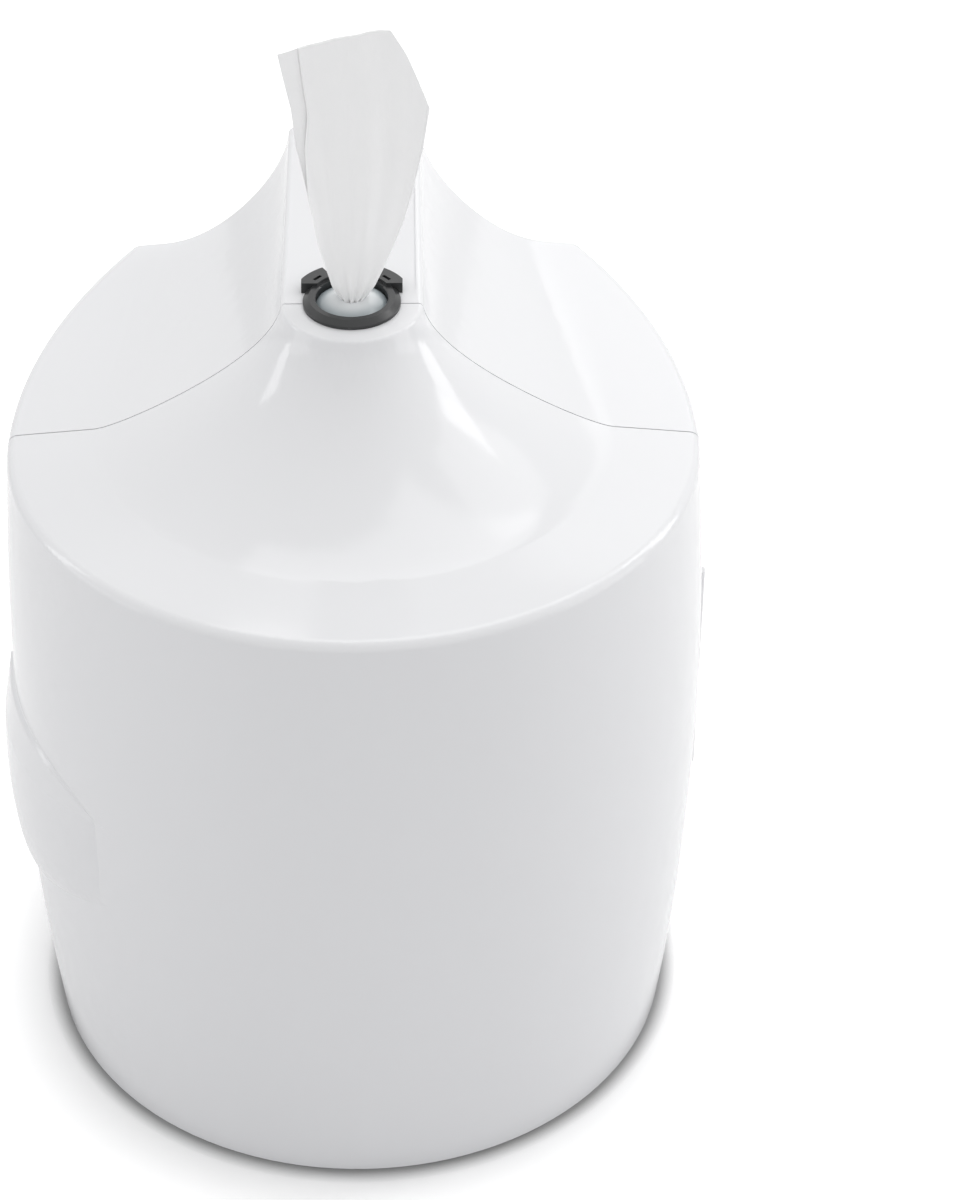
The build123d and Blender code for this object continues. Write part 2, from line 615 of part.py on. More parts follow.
def make_lock_core():
    outer_x = LOCK_SEAT_X - LOCK_FACE_T
    inner_x = CAM_X
    core = lock_rod(CORE_R, outer_x, inner_x)
    stud = block(inner_x, inner_x + CAM_T, LOCK_Y - CAM_STUD / 2, LOCK_Y + CAM_STUD / 2,
                 LOCK_Z - CAM_STUD / 2, LOCK_Z + CAM_STUD / 2)
    width, height, depth = KEY_SLOT
    slot = block(outer_x - 1, outer_x + depth, LOCK_Y - width / 2, LOCK_Y + width / 2,
                 LOCK_Z - height / 2, LOCK_Z + height / 2)
    tapped = lock_rod(CAM_SCREW_R, inner_x + CAM_T - SCREW_L, inner_x + CAM_T + 1)
    return core + stud - slot - tapped


def make_lock_cam():
    x0 = CAM_X
    half = CAM_W / 2
    round_end = lock_rod(half + 1, x0, x0 + CAM_T)
    arm = block(x0, x0 + CAM_T, LOCK_Y - CAM_REACH + half, LOCK_Y, LOCK_Z - half, LOCK_Z + half)
    tip = rod(half, CAM_T, (x0, LOCK_Y - CAM_REACH + half, LOCK_Z), (1, 0, 0))
    hole = block(x0 - 1, x0 + CAM_T + 1, LOCK_Y - CAM_STUD / 2, LOCK_Y + CAM_STUD / 2,
                 LOCK_Z - CAM_STUD / 2, LOCK_Z + CAM_STUD / 2)
    return round_end + arm + tip - hole


def make_cam_screw():
    x0 = CAM_X + CAM_T
    head = lock_rod(CAM_SCREW_HEAD_R, x0, x0 + CAM_SCREW_HEAD_T)
    shank = lock_rod(CAM_SCREW_R - 0.05, x0 - SCREW_L + 1, x0)
    cross = block(x0 + CAM_SCREW_HEAD_T - 1, x0 + CAM_SCREW_HEAD_T + 1, LOCK_Y - 2.4, LOCK_Y + 2.4,
                  LOCK_Z - 0.5, LOCK_Z + 0.5)
    return head + shank - cross


def make_lock_washer():
    x0 = LOCK_SEAT_X + LOCK_BOSS_T
    return lock_rod(WASHER_R, x0, x0 + WASHER_T) - lock_rod(LOCK_BODY_R + LOCK_CLEAR, x0 - 1, x0 + 2)


def make_lock_nut():
    x0 = LOCK_SEAT_X + LOCK_BOSS_T + WASHER_T
    plane = Plane(origin=(x0, LOCK_Y, LOCK_Z), x_dir=(0, 1, 0), z_dir=(1, 0, 0))
    hexagon = extrude(plane * RegularPolygon(NUT_ACROSS / 2, 6, major_radius=False, rotation=30), NUT_T)
    return hexagon - lock_rod(LOCK_BODY_R + 0.1, x0 - 1, x0 + NUT_T + 1)


def make_keeper():
    z0, z1 = keeper_z() - KEEPER_W / 2, keeper_z() + KEEPER_W / 2
    inner_x = KEEPER_ARM_X + KEEPER_T
    lip_y = LOCK_Y + CAM_W / 2 + KEEPER_GAP
    arm = block(KEEPER_ARM_X, inner_x, KEEPER_FRONT_Y, lip_y + KEEPER_T, z0, z1)
    lip = block(KEEPER_ARM_X, KEEPER_ARM_X + KEEPER_LIP, lip_y, lip_y + KEEPER_T, z0, z1)
    keeper = arm + lip
    for y in KEEPER_SCREW_Y:
        keeper = keeper - rod(SCREW_R + 0.2, 10, (KEEPER_ARM_X - 1, y, keeper_z()), (1, 0, 0))
    return keeper


def make_keeper_screws():
    inner_x = KEEPER_ARM_X + KEEPER_T
    screws = []
    for y in KEEPER_SCREW_Y:
        head = rod(SCREW_HEAD_R, SCREW_HEAD_T, (inner_x, y, keeper_z()), (1, 0, 0))
        shank = rod(SCREW_R - 0.05, SCREW_L, (inner_x, y, keeper_z()), (-1, 0, 0))
        cross = block(inner_x + SCREW_HEAD_T - 0.8, inner_x + SCREW_HEAD_T + 1, y - 1.7, y + 1.7,
                      keeper_z() - 0.4, keeper_z() + 0.4)
        screws.append(head + shank - cross)
    return Compound(children=screws)


def make_base_tray():
    disc = half_space(rod(BASE_R - WALL - TRAY_FRONT_CLEAR, TRAY_T, (0, 0, 0), (0, 0, 1)), front=True)
    back = block(-BELLY_R, BELLY_R, 0, BODY_BACK - BACK_WALL - TRAY_CLEAR, 0, TRAY_T)
    for side in (1, -1):
        radius = BASE_R + FLANK_SHIFT - WALL - TRAY_CLEAR
        back = back & rod(radius, TRAY_T, (-side * FLANK_SHIFT, 0, 0), (0, 0, 1))
    tray = disc + back
    tray = tray + ring(TRAY_RIM_R, TRAY_RIM_R - TRAY_RIM_T, TRAY_T - 1, TRAY_T + TRAY_RIM_H)
    for index in range(TRAY_RIBS):
        turn = Rotation(0, 0, 180 / TRAY_RIBS * (2 * index + 1))
        rib = block(ROLL_EYE_R, TRAY_RIM_R - TRAY_RIM_T / 2, -TRAY_RIB_T / 2, TRAY_RIB_T / 2,
                    TRAY_T - 1, TRAY_T + TRAY_RIB_H)
        tray = tray + turn * rib
    for x, y in tray_posts():
        tray = tray - rod(TRAY_HOLE_R, TRAY_T + 2, (x, y, -1), (0, 0, 1))
        depth = COUNTERSINK_R - TRAY_HOLE_R
        tray = tray - upright_cone(COUNTERSINK_R + 1, TRAY_HOLE_R, depth + 1, (x, y, -1))
    return tray


def make_tray_screws():
    screws = []
    for x, y in tray_posts():
        head_r = COUNTERSINK_R - HEAD_CLEAR - HEAD_SUNK
        head = upright_cone(head_r, TRAY_SCREW_R, COUNTERSINK_R - TRAY_HOLE_R, (x, y, HEAD_SUNK))
        shank = rod(TRAY_SCREW_R, TRAY_SCREW_L - HEAD_SUNK - 2, (x, y, HEAD_SUNK + 0.5), (0, 0, 1))
        cross = block(x - 2, x + 2, y - 0.5, y + 0.5, -1, HEAD_SUNK + 1)
        screws.append(head + shank - cross)
    return Compound(children=screws)


def roll_foot():
    """Height of the underside of the roll, on the bag's floor."""
    return TRAY_T + TRAY_RIB_H + SEAT_GAP + BAG_T + SEAT_GAP


def make_wipe_roll():
    low = roll_foot()
    roll = ring(ROLL_R, ROLL_EYE_R, low, low + ROLL_H)
    outer = [e for e in roll.edges() if abs(e.length - 2 * pi * ROLL_R) < 1]
    return fillet(outer, ROLL_EDGE)


def make_refill_bag():
    low = roll_foot() - SEAT_GAP
    inner = ROLL_R + BAG_GAP
    outer = inner + BAG_T
    shoulder = low + ROLL_H + BAG_SHOULDER
    mouth = shoulder + BAG_MOUTH_RISE
    points = [(0, low - BAG_T), (outer, low - BAG_T), (outer, shoulder), (BAG_MOUTH_R, mouth),
              (BAG_MOUTH_R, mouth - BAG_T), (inner, shoulder - BAG_T), (inner, low), (0, low)]
    return turned(points)


def make_wipe_strand():
    eye, neck = roll_foot() + ROLL_H, TOP_Z - NECK_TUBE_DEPTH
    heights = [STRAND_FOOT_Z, eye, (eye + neck) / 2, neck - 4, TAIL_START_Z]
    widths = [STRAND_FOOT_R, STRAND_FOOT_R * 0.9, (STRAND_FOOT_R + STRAND_R) / 2 - 1, STRAND_R, STRAND_R]
    return turned([(0, heights[0])] + list(zip(widths, heights)) + [(0, heights[-1])])


def tail_section(height, half_width, half_depth, dx, dy, slant=0.0):
    """Outline of the gathered wipe at one height, with its folds on both faces."""
    count = 2 * TAIL_FOLDS
    front, back = [], []
    for index in range(count + 1):
        x = -1 + 2 * index / count
        body = half_depth * (0.25 + 0.75 * sqrt(max(0.0, 1 - x * x)))
        fold = half_depth * TAIL_FOLD_DEPTH * (0.5 if index % 2 else -0.5)
        front.append((half_width * x, dy - body + fold))
        back.append((half_width * x, dy + body + fold))
    loop = front + back[::-1]
    lines = [Line(a, b) for a, b in zip(loop, loop[1:] + loop[:1])]
    place = Location((dx, 0, TAIL_START_Z + height)) * Rotation(0, -slant, 0)
    return place * make_face(Wire(lines))


def make_wipe_tail():
    sections = [tail_section(*row) for row in TAIL_SECTIONS[:-1]]
    sections.append(tail_section(*TAIL_SECTIONS[-1], slant=TAIL_TOP_SLANT))
    return loft(sections, ruled=True)


PARTS = {
    "rear_housing": make_rear_housing,
    "base_tray": make_base_tray,
    "tray_screws": make_tray_screws,
    "nozzle_collar": make_nozzle_collar,
    "nozzle_dome": make_nozzle_dome,
    "nozzle_retainer": make_nozzle_retainer,
    "hinge_pin": make_hinge_pin,
    "lock_barrel": make_lock_barrel,
    "lock_washer": make_lock_washer,
    "lock_nut": make_lock_nut,
    "wipe_roll": make_wipe_roll,
    "refill_bag": make_refill_bag,
    "wipe_strand": make_wipe_strand,
    "wipe_tail": make_wipe_tail,
    "front_cover": make_front_cover,
    "keeper": make_keeper,
    "keeper_screws": make_keeper_screws,
    "lock_core": make_lock_core,
    "lock_cam": make_lock_cam,
    "cam_screw": make_cam_screw,
}

os.makedirs("parts", exist_ok=True)
for name, make in PARTS.items():
    export_step(make(), "parts/" + name + ".step")
    print("made", name)
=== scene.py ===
# %% [markdown]
# Wall dispenser for centre-pull wipes.
# This file dresses a finished engineering model. The model is loaded as a fixed frame, and nothing
# in it is moved or resized. Each visible piece then gets its finish, and the soft pieces, which the
# engineering model only blocks out, are made here as what they are: cloth, film and a wound roll.

import json
import math

import bmesh
import bpy
import numpy as np
from mathutils import Matrix, Vector, noise


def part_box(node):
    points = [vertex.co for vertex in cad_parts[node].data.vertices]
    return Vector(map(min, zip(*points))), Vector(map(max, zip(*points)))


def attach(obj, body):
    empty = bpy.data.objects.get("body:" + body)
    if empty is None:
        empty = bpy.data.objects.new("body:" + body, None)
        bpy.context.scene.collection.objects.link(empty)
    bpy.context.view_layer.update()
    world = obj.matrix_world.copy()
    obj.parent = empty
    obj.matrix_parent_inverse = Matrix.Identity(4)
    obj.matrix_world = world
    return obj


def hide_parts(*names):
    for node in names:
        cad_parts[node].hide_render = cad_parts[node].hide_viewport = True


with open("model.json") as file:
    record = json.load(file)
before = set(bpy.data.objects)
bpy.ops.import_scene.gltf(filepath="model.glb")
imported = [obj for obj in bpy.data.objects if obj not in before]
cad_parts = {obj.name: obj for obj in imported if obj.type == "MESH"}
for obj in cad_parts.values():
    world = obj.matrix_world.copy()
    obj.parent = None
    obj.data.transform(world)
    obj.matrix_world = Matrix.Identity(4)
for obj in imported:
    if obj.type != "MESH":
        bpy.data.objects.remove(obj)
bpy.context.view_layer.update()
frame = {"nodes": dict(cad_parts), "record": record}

# %% [markdown]
# The camera comes first, because everything is judged through it. The photograph looks down at the
# dispenser with a long lens, from a little over a metre and a half away. The print was cropped off
# centre, and a small lens shift puts the dispenser where it stands in the frame without turning it.

# %% Camera
CAMERA_AT = Vector((0.0168, -1.1356, 1.0560))
CAMERA_DOWN = math.radians(37.17)
CAMERA_ROLL = math.radians(-0.30)
LENS_MM = 105.0
SENSOR_MM = 36.0
LENS_SHIFT = 0.0735


def add_object(name, data):
    """A new object of the scene for a mesh, a lamp or a camera."""
    made = bpy.data.objects.new(name, data)
    bpy.context.scene.collection.objects.link(made)
    return made


camera_data = bpy.data.cameras.new("camera")
camera_data.lens = LENS_MM
camera_data.sensor_width = SENSOR_MM
camera_data.shift_x = LENS_SHIFT
camera = add_object("camera", camera_data)
camera.matrix_world = (
    Matrix.Translation(CAMERA_AT)
    @ Matrix.Rotation(math.pi / 2 - CAMERA_DOWN, 4, "X")
    @ Matrix.Rotation(CAMERA_ROLL, 4, "Z")
)
bpy.context.scene.camera = camera
bpy.context.scene.view_settings.view_transform = "Standard"

# %% [markdown]
# A white gloss moulding is described by what it mirrors. Two tall strips draw the long streaks down
# the cone, a small window behind lights the ring and the dome on the right, and broad weak panels
# with a pale room do the rest. The sides come out brighter than the front, as in the photograph.

# %% Studio light
SUBJECT = Vector((0.0, 0.0, 0.2))


def panel(name, at, size, watts, target=SUBJECT):
    """A soft rectangular lamp that faces the target."""
    lamp = bpy.data.lights.new(name, "AREA")
    lamp.shape = "RECTANGLE"
    lamp.size, lamp.size_y = size
    lamp.energy = watts
    panel_object = add_object(name, lamp)
    direction = (target - Vector(at)).to_track_quat("-Z", "Y")
    panel_object.matrix_world = Matrix.Translation(at) @ direction.to_matrix().to_4x4()
    return panel_object


panel("low_left_panel", (-1.5, -0.3, 0.35), (0.9, 0.6), 1.47)
panel("low_right_panel", (1.5, -0.3, 0.35), (0.9, 0.6), 1.68)
panel("front_panel", (0.1, -2.0, 0.75), (2.4, 1.5), 3.36)
panel("top_panel", (0.2, 0.5, 2.0), (1.4, 1.2), 7.35)
panel("left_strip", (-1.55, 0.25, 0.85), (0.25, 1.0), 2.10)
panel("right_strip", (1.28, 0.42, 0.86), (0.32, 1.1), 3.15)
panel("right_panel", (1.2, 0.5, 1.75), (0.8, 0.9), 2.31)
panel("back_window", (0.45, 1.3, 1.15), (0.8, 0.8), 1.78)

world = bpy.data.worlds.new("room")
world.use_nodes = True
bpy.context.scene.world = world
ROOM_LEVEL = 0.89


def seen_directly(tree):
    """1 on rays from the camera, in reflections and through clear surfaces, else 0."""
    path = tree.nodes.new("ShaderNodeLightPath")
    seen = path.outputs["Is Camera Ray"]
    for ray in ("Is Glossy Ray", "Is Transmission Ray"):
        either = tree.nodes.new("ShaderNodeMath")
        either.operation = "MAXIMUM"
        tree.links.new(seen, either.inputs[0])
        tree.links.new(path.outputs[ray], either.inputs[1])
        seen = either.outputs[0]
    return seen


def build_room(tree):
    """A plain pale room that the camera, mirrors and clear surfaces see as white."""
    tree.nodes.clear()
    out = tree.nodes.new("ShaderNodeOutputWorld")
    room = tree.nodes.new("ShaderNodeBackground")
    room.inputs["Strength"].default_value = ROOM_LEVEL
    white = tree.nodes.new("ShaderNodeBackground")
    white.inputs["Color"].default_value = (1, 1, 1, 1)
    mix = tree.nodes.new("ShaderNodeMixShader")
    tree.links.new(seen_directly(tree), mix.inputs[0])
    tree.links.new(room.outputs[0], mix.inputs[1])
    tree.links.new(white.outputs[0], mix.inputs[2])
    tree.links.new(mix.outputs[0], out.inputs[0])


build_room(world.node_tree)

# %% [markdown]
# The dispenser stands on a white sheet. The sheet looks white and is greyer to the light it throws back.
# Where something stands on it, it has its real shadow from the lamps plus painted shadow from occlusion
# nodes: a painted soft wide shadow where its white glow fades, and a painted thin dark line of contact.

# %% Floor
FLOOR_HALF = 6.0
FLOOR_GREY = (0.72, 0.72, 0.73)
FLOOR_LIFT = 0.30
# Reach of the painted wide shadow, and reach and depth of the painted contact shadow.
SHADOW_REACH = 0.036
CONTACT_REACH = 0.008
PAINTED_CONTACT_SHADE = 0.34


def floor_material():
    """White where it is seen or mirrored, a paler grey to diffuse light, painted dark under the base's edge
    and dimmer round it as painted shadow.
    """
    made = bpy.data.materials.new("studio_floor")
    made.use_nodes = True
    tree = made.node_tree
    tree.nodes.clear()
    out = tree.nodes.new("ShaderNodeOutputMaterial")
    tone = tree.nodes.new("ShaderNodeMix")
    tone.data_type = "RGBA"
    tone.inputs["A"].default_value = (*FLOOR_GREY, 1)
    paper = tree.nodes.new("ShaderNodeBsdfDiffuse")
    glow = tree.nodes.new("ShaderNodeEmission")
    add = tree.nodes.new("ShaderNodeAddShader")

    def openness(reach, low, high):
        """From low where something stands on the floor to high at a distance from it, for painted shadow."""
        near = tree.nodes.new("ShaderNodeAmbientOcclusion")
        near.inputs["Distance"].default_value = reach
        ramp = tree.nodes.new("ShaderNodeMapRange")
        ramp.inputs["From Min"].default_value = 0.5
        ramp.inputs["To Min"].default_value = low
        ramp.inputs["To Max"].default_value = high
        tree.links.new(near.outputs["AO"], ramp.inputs["Value"])
        return ramp.outputs["Result"]

    lift = tree.nodes.new("ShaderNodeMath")
    lift.operation = "MULTIPLY"
    path = tree.nodes.new("ShaderNodeLightPath")
    # painted wide shadow: the white glow seen by the camera fades near the base
    tree.links.new(openness(SHADOW_REACH, 0.0, FLOOR_LIFT), lift.inputs[0])
    tree.links.new(path.outputs["Is Camera Ray"], lift.inputs[1])
    tree.links.new(lift.outputs[0], glow.inputs["Strength"])
    tree.links.new(seen_directly(tree), tone.inputs["Factor"])
    # painted contact shadow: the colour seen directly darkens under the base's edge
    tree.links.new(openness(CONTACT_REACH, PAINTED_CONTACT_SHADE, 1.0), tone.inputs["B"])
    tree.links.new(tone.outputs["Result"], paper.inputs["Color"])
    tree.links.new(paper.outputs[0], add.inputs[0])
    tree.links.new(glow.outputs[0], add.inputs[1])
    tree.links.new(add.outputs[0], out.inputs["Surface"])
    return made


floor_mesh = bpy.data.meshes.new("floor")
corners = [(x * FLOOR_HALF, y * FLOOR_HALF, 0) for x, y in ((-1, -1), (1, -1), (1, 1), (-1, 1))]
floor_mesh.from_pydata(corners, [], [(0, 1, 2, 3)])
floor_mesh.materials.append(floor_material())
floor = add_object("floor", floor_mesh)

# %% [markdown]
# Effects that several materials share are node groups. Moulded plastic is never optically flat: the
# skin has a very shallow waviness from the steel of the mould, and where hands and cloths have been
# it is a little less glossy. Both are kept so weak that they are felt in reflections, not seen.

# %% Shared effects


def new_group(name, inputs, outputs):
    """An empty shader group with its sockets, and its input and output nodes."""
    group = bpy.data.node_groups.new(name, "ShaderNodeTree")
    for socket, kind, value in inputs:
        made = group.interface.new_socket(name=socket, in_out="INPUT", socket_type="NodeSocket" + kind)
        if value is not None:
            made.default_value = value
    for socket, kind in outputs:
        group.interface.new_socket(name=socket, in_out="OUTPUT", socket_type="NodeSocket" + kind)
    return group, group.nodes.new("NodeGroupInput"), group.nodes.new("NodeGroupOutput")


def build_moulded_skin():
    """Waviness of a moulded surface, as a height, and a roughness that varies with handling."""
    group, given, out = new_group(
        "moulded_skin",
        [("Vector", "Vector", None), ("Wave Scale", "Float", 60.0), ("Grain Scale", "Float", 900.0),
         ("Grain", "Float", 0.15), ("Gloss", "Float", 0.12), ("Handled", "Float", 0.05)],
        [("Height", "Float"), ("Roughness", "Float")],
    )
    wave = group.nodes.new("ShaderNodeTexNoise")
    wave.inputs["Detail"].default_value = 1.0
    grain = group.nodes.new("ShaderNodeTexNoise")
    grain.inputs["Detail"].default_value = 2.0
    smear = group.nodes.new("ShaderNodeTexNoise")
    smear.inputs["Scale"].default_value = 14.0
    smear.inputs["Detail"].default_value = 4.0
    smear.inputs["Distortion"].default_value = 0.6
    rough_grain = group.nodes.new("ShaderNodeMath")
    rough_grain.operation = "MULTIPLY"
    height = group.nodes.new("ShaderNodeMath")
    height.operation = "ADD"
    band = group.nodes.new("ShaderNodeMapRange")
    band.inputs["From Min"].default_value = 0.42
    band.inputs["From Max"].default_value = 0.68
    spread = group.nodes.new("ShaderNodeMath")
    spread.operation = "MULTIPLY_ADD"
    for texture in (wave, grain, smear):
        group.links.new(given.outputs["Vector"], texture.inputs["Vector"])
    group.links.new(given.outputs["Wave Scale"], wave.inputs["Scale"])
    group.links.new(given.outputs["Grain Scale"], grain.inputs["Scale"])
    group.links.new(grain.outputs["Fac"], rough_grain.inputs[0])
    group.links.new(given.outputs["Grain"], rough_grain.inputs[1])
    group.links.new(wave.outputs["Fac"], height.inputs[0])
    group.links.new(rough_grain.outputs[0], height.inputs[1])
    group.links.new(height.outputs[0], out.inputs["Height"])
    group.links.new(smear.outputs["Fac"], band.inputs["Value"])
    group.links.new(band.outputs["Result"], spread.inputs[0])
    group.links.new(given.outputs["Handled"], spread.inputs[1])
    group.links.new(given.outputs["Gloss"], spread.inputs[2])
    group.links.new(spread.outputs[0], out.inputs["Roughness"])
    return group


MOULDED_SKIN = build_moulded_skin()

# %% Materials


def principled(name, **values):
    """A material with one Principled BSDF whose constant values are set on its own sockets."""
    made = bpy.data.materials.new(name)
    made.use_nodes = True
    shader = made.node_tree.nodes["Principled BSDF"]
    for socket, value in values.items():
        shader.inputs[socket.replace("_", " ")].default_value = value
    return made, made.node_tree, shader


def object_vector(tree):
    """The point's place on the object, which doesn't slide when the part moves."""
    return tree.nodes.new("ShaderNodeTexCoord").outputs["Object"]


def add_bump(tree, shader, height, distance, strength=1.0):
    """Feeds a height to the shader's normal through a Bump node, with its depth in metres."""
    bump = tree.nodes.new("ShaderNodeBump")
    bump.inputs["Strength"].default_value = strength
    bump.inputs["Distance"].default_value = distance
    tree.links.new(height, bump.inputs["Height"])
    tree.links.new(bump.outputs["Normal"], shader.inputs["Normal"])
    return bump


def moulded(name, color, distance, skin, **values):
    """A moulded plastic: one colour, the shared skin, and its own gloss."""
    made, tree, shader = principled(name, Base_Color=(*color, 1), **values)
    group = tree.nodes.new("ShaderNodeGroup")
    group.node_tree = MOULDED_SKIN
    for socket, value in skin.items():
        group.inputs[socket].default_value = value
    tree.links.new(object_vector(tree), group.inputs["Vector"])
    tree.links.new(group.outputs["Roughness"], shader.inputs["Roughness"])
    add_bump(tree, shader, group.outputs["Height"], distance)
    return made


WHITE_PLASTIC = moulded(
    "white_gloss_plastic", (0.778, 0.781, 0.795), 0.00012,
    {"Wave Scale": 26.0, "Grain Scale": 700.0, "Grain": 0.01, "Gloss": 0.10, "Handled": 0.05},
    IOR=1.5,
)
BLACK_PLASTIC = moulded(
    "black_nylon", (0.026, 0.027, 0.028), 0.00006,
    {"Wave Scale": 300.0, "Grain Scale": 2600.0, "Grain": 0.5, "Gloss": 0.28, "Handled": 0.10},
    IOR=1.52,
)
print("materials so far", len(bpy.data.materials))

# %% [markdown]
# The rigid pieces are already the right shape. Their meshes come in as loose triangles, so a copy is
# merged, shaded smooth across its curves, and kept sharp at its real corners. The copy stands for
# the node, and the node stays hidden underneath as the collision shape.

# %% Dress a rigid piece
MERGE = 2e-6
SMOOTH_UNDER = math.radians(24)
GRIP_CREASE = math.radians(5)
GRIP_ROUND = 0.0005
GRIP_PROUD_X = -0.122
GRIP_RIGHT_X, GRIP_BACK_Y = -0.088, -0.001
GRIP_LOW_Z, GRIP_HIGH_Z = 0.055, 0.176
FOOT_ROUND = 0.0014
FOOT_OVER = math.radians(60)
FLAT_UNDER = math.radians(0.6)
BEVEL_OVER = math.radians(35)


def fold_angle(edge):
    """Angle between the two faces of an edge, or 0 at an open one."""
    return edge.calc_face_angle(0.0) if len(edge.link_faces) == 2 else 0.0


def is_foot_edge(edge):
    """True for an outer edge of the underside."""
    if max(v.co.z for v in edge.verts) > MERGE or fold_angle(edge) < FOOT_OVER:
        return False
    middle = (edge.verts[0].co + edge.verts[1].co) / 2
    return any(abs(f.normal.z) < 0.5 and f.normal.dot(middle) > 0 for f in edge.link_faces)


def in_grip(edge):
    """True for an edge of the finger grip on the cover."""
    return all(
        v.co.x < GRIP_RIGHT_X and v.co.y < GRIP_BACK_Y and GRIP_LOW_Z < v.co.z < GRIP_HIGH_Z
        for v in edge.verts
    )


def is_proud(edge):
    """True for a crease where the grip still stands well out of the barrel."""
    return fold_angle(edge) > GRIP_CREASE and all(v.co.x < GRIP_PROUD_X for v in edge.verts)


def dressed(node, material, name, bevel=0.0, foot=False, grip=False):
    """A merged, smooth-shaded copy of a CAD node, with small rounds on its sharp edges if asked."""
    mesh = frame["nodes"][node].data.copy()
    mesh.name = name
    work = bmesh.new()
    work.from_mesh(mesh)
    bmesh.ops.remove_doubles(work, verts=work.verts, dist=MERGE)
    if bevel:
        bmesh.ops.dissolve_limit(work, angle_limit=FLAT_UNDER, verts=work.verts, edges=work.edges)
    if foot:
        under = [edge for edge in work.edges if is_foot_edge(edge)]
        bmesh.ops.bevel(work, geom=under, offset=FOOT_ROUND, segments=3, profile=0.5, affect="EDGES")
        print(name, "foot edges", len(under))
    if grip:
        creases = [edge for edge in work.edges if in_grip(edge) and is_proud(edge)]
        bmesh.ops.bevel(work, geom=creases, offset=GRIP_ROUND, segments=2, profile=0.5, affect="EDGES")
        print(name, "grip creases", len(creases))
    for face in work.faces:
        face.smooth = True
    for edge in work.edges:
        limit = GRIP_CREASE if grip and in_grip(edge) else SMOOTH_UNDER
        edge.smooth = fold_angle(edge) < limit
    work.to_mesh(mesh)
    work.free()
    mesh.materials.clear()
    mesh.materials.append(material)
    piece = add_object(name, mesh)
    if bevel:
        rounds = piece.modifiers.new("rounds", "BEVEL")
        rounds.width = bevel
        rounds.segments = 2
        rounds.limit_method = "ANGLE"
        rounds.angle_limit = BEVEL_OVER
        rounds.harden_normals = True
    else:
        weighted = piece.modifiers.new("weighted_normals", "WEIGHTED_NORMAL")
        weighted.keep_sharp = True
    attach(piece, body_of(node))
    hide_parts(node)
    print(name, len(mesh.polygons), "faces")
    return piece


def close_mesh(mesh, sharp_over, merge=False):
    """Merges doubles if asked, turns the normals outwards, and shades smooth up to an angle."""
    work = bmesh.new()
    work.from_mesh(mesh)
    if merge:
        bmesh.ops.remove_doubles(work, verts=work.verts, dist=MERGE)
    bmesh.ops.recalc_face_normals(work, faces=work.faces)
    work.to_mesh(mesh)
    work.free()
    mesh.polygons.foreach_set("use_smooth", [True] * len(mesh.polygons))
    mesh.set_sharp_from_angle(angle=math.radians(sharp_over))


def turned(name, profile, material, segments=160):
    """A closed form turned about the nozzle's axis from a profile of (radius, height)."""
    points, faces = [], []
    count = len(profile)
    for turn in range(segments):
        angle = 2 * math.pi * turn / segments
        points += [(r * math.cos(angle), r * math.sin(angle), z) for r, z in profile]
        start, after = turn * count, (turn + 1) % segments * count
        for i in range(count):
            up = (i + 1) % count
            faces.append((start + i, after + i, after + up, start + up))
    mesh = bpy.data.meshes.new(name)
    mesh.from_pydata(points, [], faces)
    close_mesh(mesh, 40)
    mesh.materials.append(material)
    piece = add_object(name, mesh)
    return piece


def body_of(node):
    """The body that a CAD node rides on."""
    for body, members in frame["record"]["behaviour"]["bodies"].items():
        if node in members:
            return body
    raise KeyError(node)


dressed("rear_housing", WHITE_PLASTIC, "rear_shell", foot=True)
dressed("front_cover", WHITE_PLASTIC, "cover_shell", foot=True, grip=True)
dressed("nozzle_collar", BLACK_PLASTIC, "collar", bevel=0.00022)

# %% [markdown]
# The dome is a soft moulding that grips the wipe. It swells up out of the collar. Its colour is painted
# pale round its hole and darker out towards the collar, as painted light and painted shade, and the lip
# of the hole is rounded so that it doesn't tear the wipes.

# %% Nozzle dome
MM = 0.001
PLATFORM_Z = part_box("nozzle_collar")[1].z - 4.5 * MM
DOME_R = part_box("nozzle_dome")[1].x
DOME_HEM_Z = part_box("nozzle_dome")[0].z
DOME_FOOT_Z = PLATFORM_Z - 0.9 * MM
DOME_SWELL = 4.4 * MM
DOME_SKIN = 1.2 * MM
DOME_HOLE_R = 4.1 * MM
DOME_LIP = 0.7 * MM
# Radii where the dome's painted light at the hole turns into painted shade towards the collar.
PAINTED_LIGHT_FROM, PAINTED_LIGHT_TO = 0.006, 0.0135


def swell(radius, size=DOME_R):
    """Height of the dome's skin over its foot at a radius."""
    return DOME_SWELL * (1 - min(radius / size, 1.0) ** 2.4) ** 0.6


def dome_profile():
    """Outside from the hem to the lip of the hole, then back along the inside."""
    steps = 26
    spread = [1 - (1 - i / steps) ** 1.8 for i in range(steps + 1)]
    rim = DOME_HOLE_R + DOME_LIP
    outside = [(DOME_R, DOME_HEM_Z)]
    for t in spread:
        radius = DOME_R - (DOME_R - rim) * t
        outside.append((radius, DOME_FOOT_Z + swell(radius)))
    lip_z = DOME_FOOT_Z + swell(rim) - DOME_LIP
    for turn in (30, 60, 90, 130):
        angle = math.radians(turn)
        outside.append((rim - DOME_LIP * math.sin(angle), lip_z + DOME_LIP * math.cos(angle)))
    low_r = DOME_R - DOME_SKIN
    inside = []
    for t in reversed(spread):
        radius = low_r - (low_r - rim) * t
        inside.append((radius, DOME_FOOT_Z - DOME_SKIN + swell(radius, low_r)))
    return outside + inside + [(low_r, DOME_HEM_Z)]


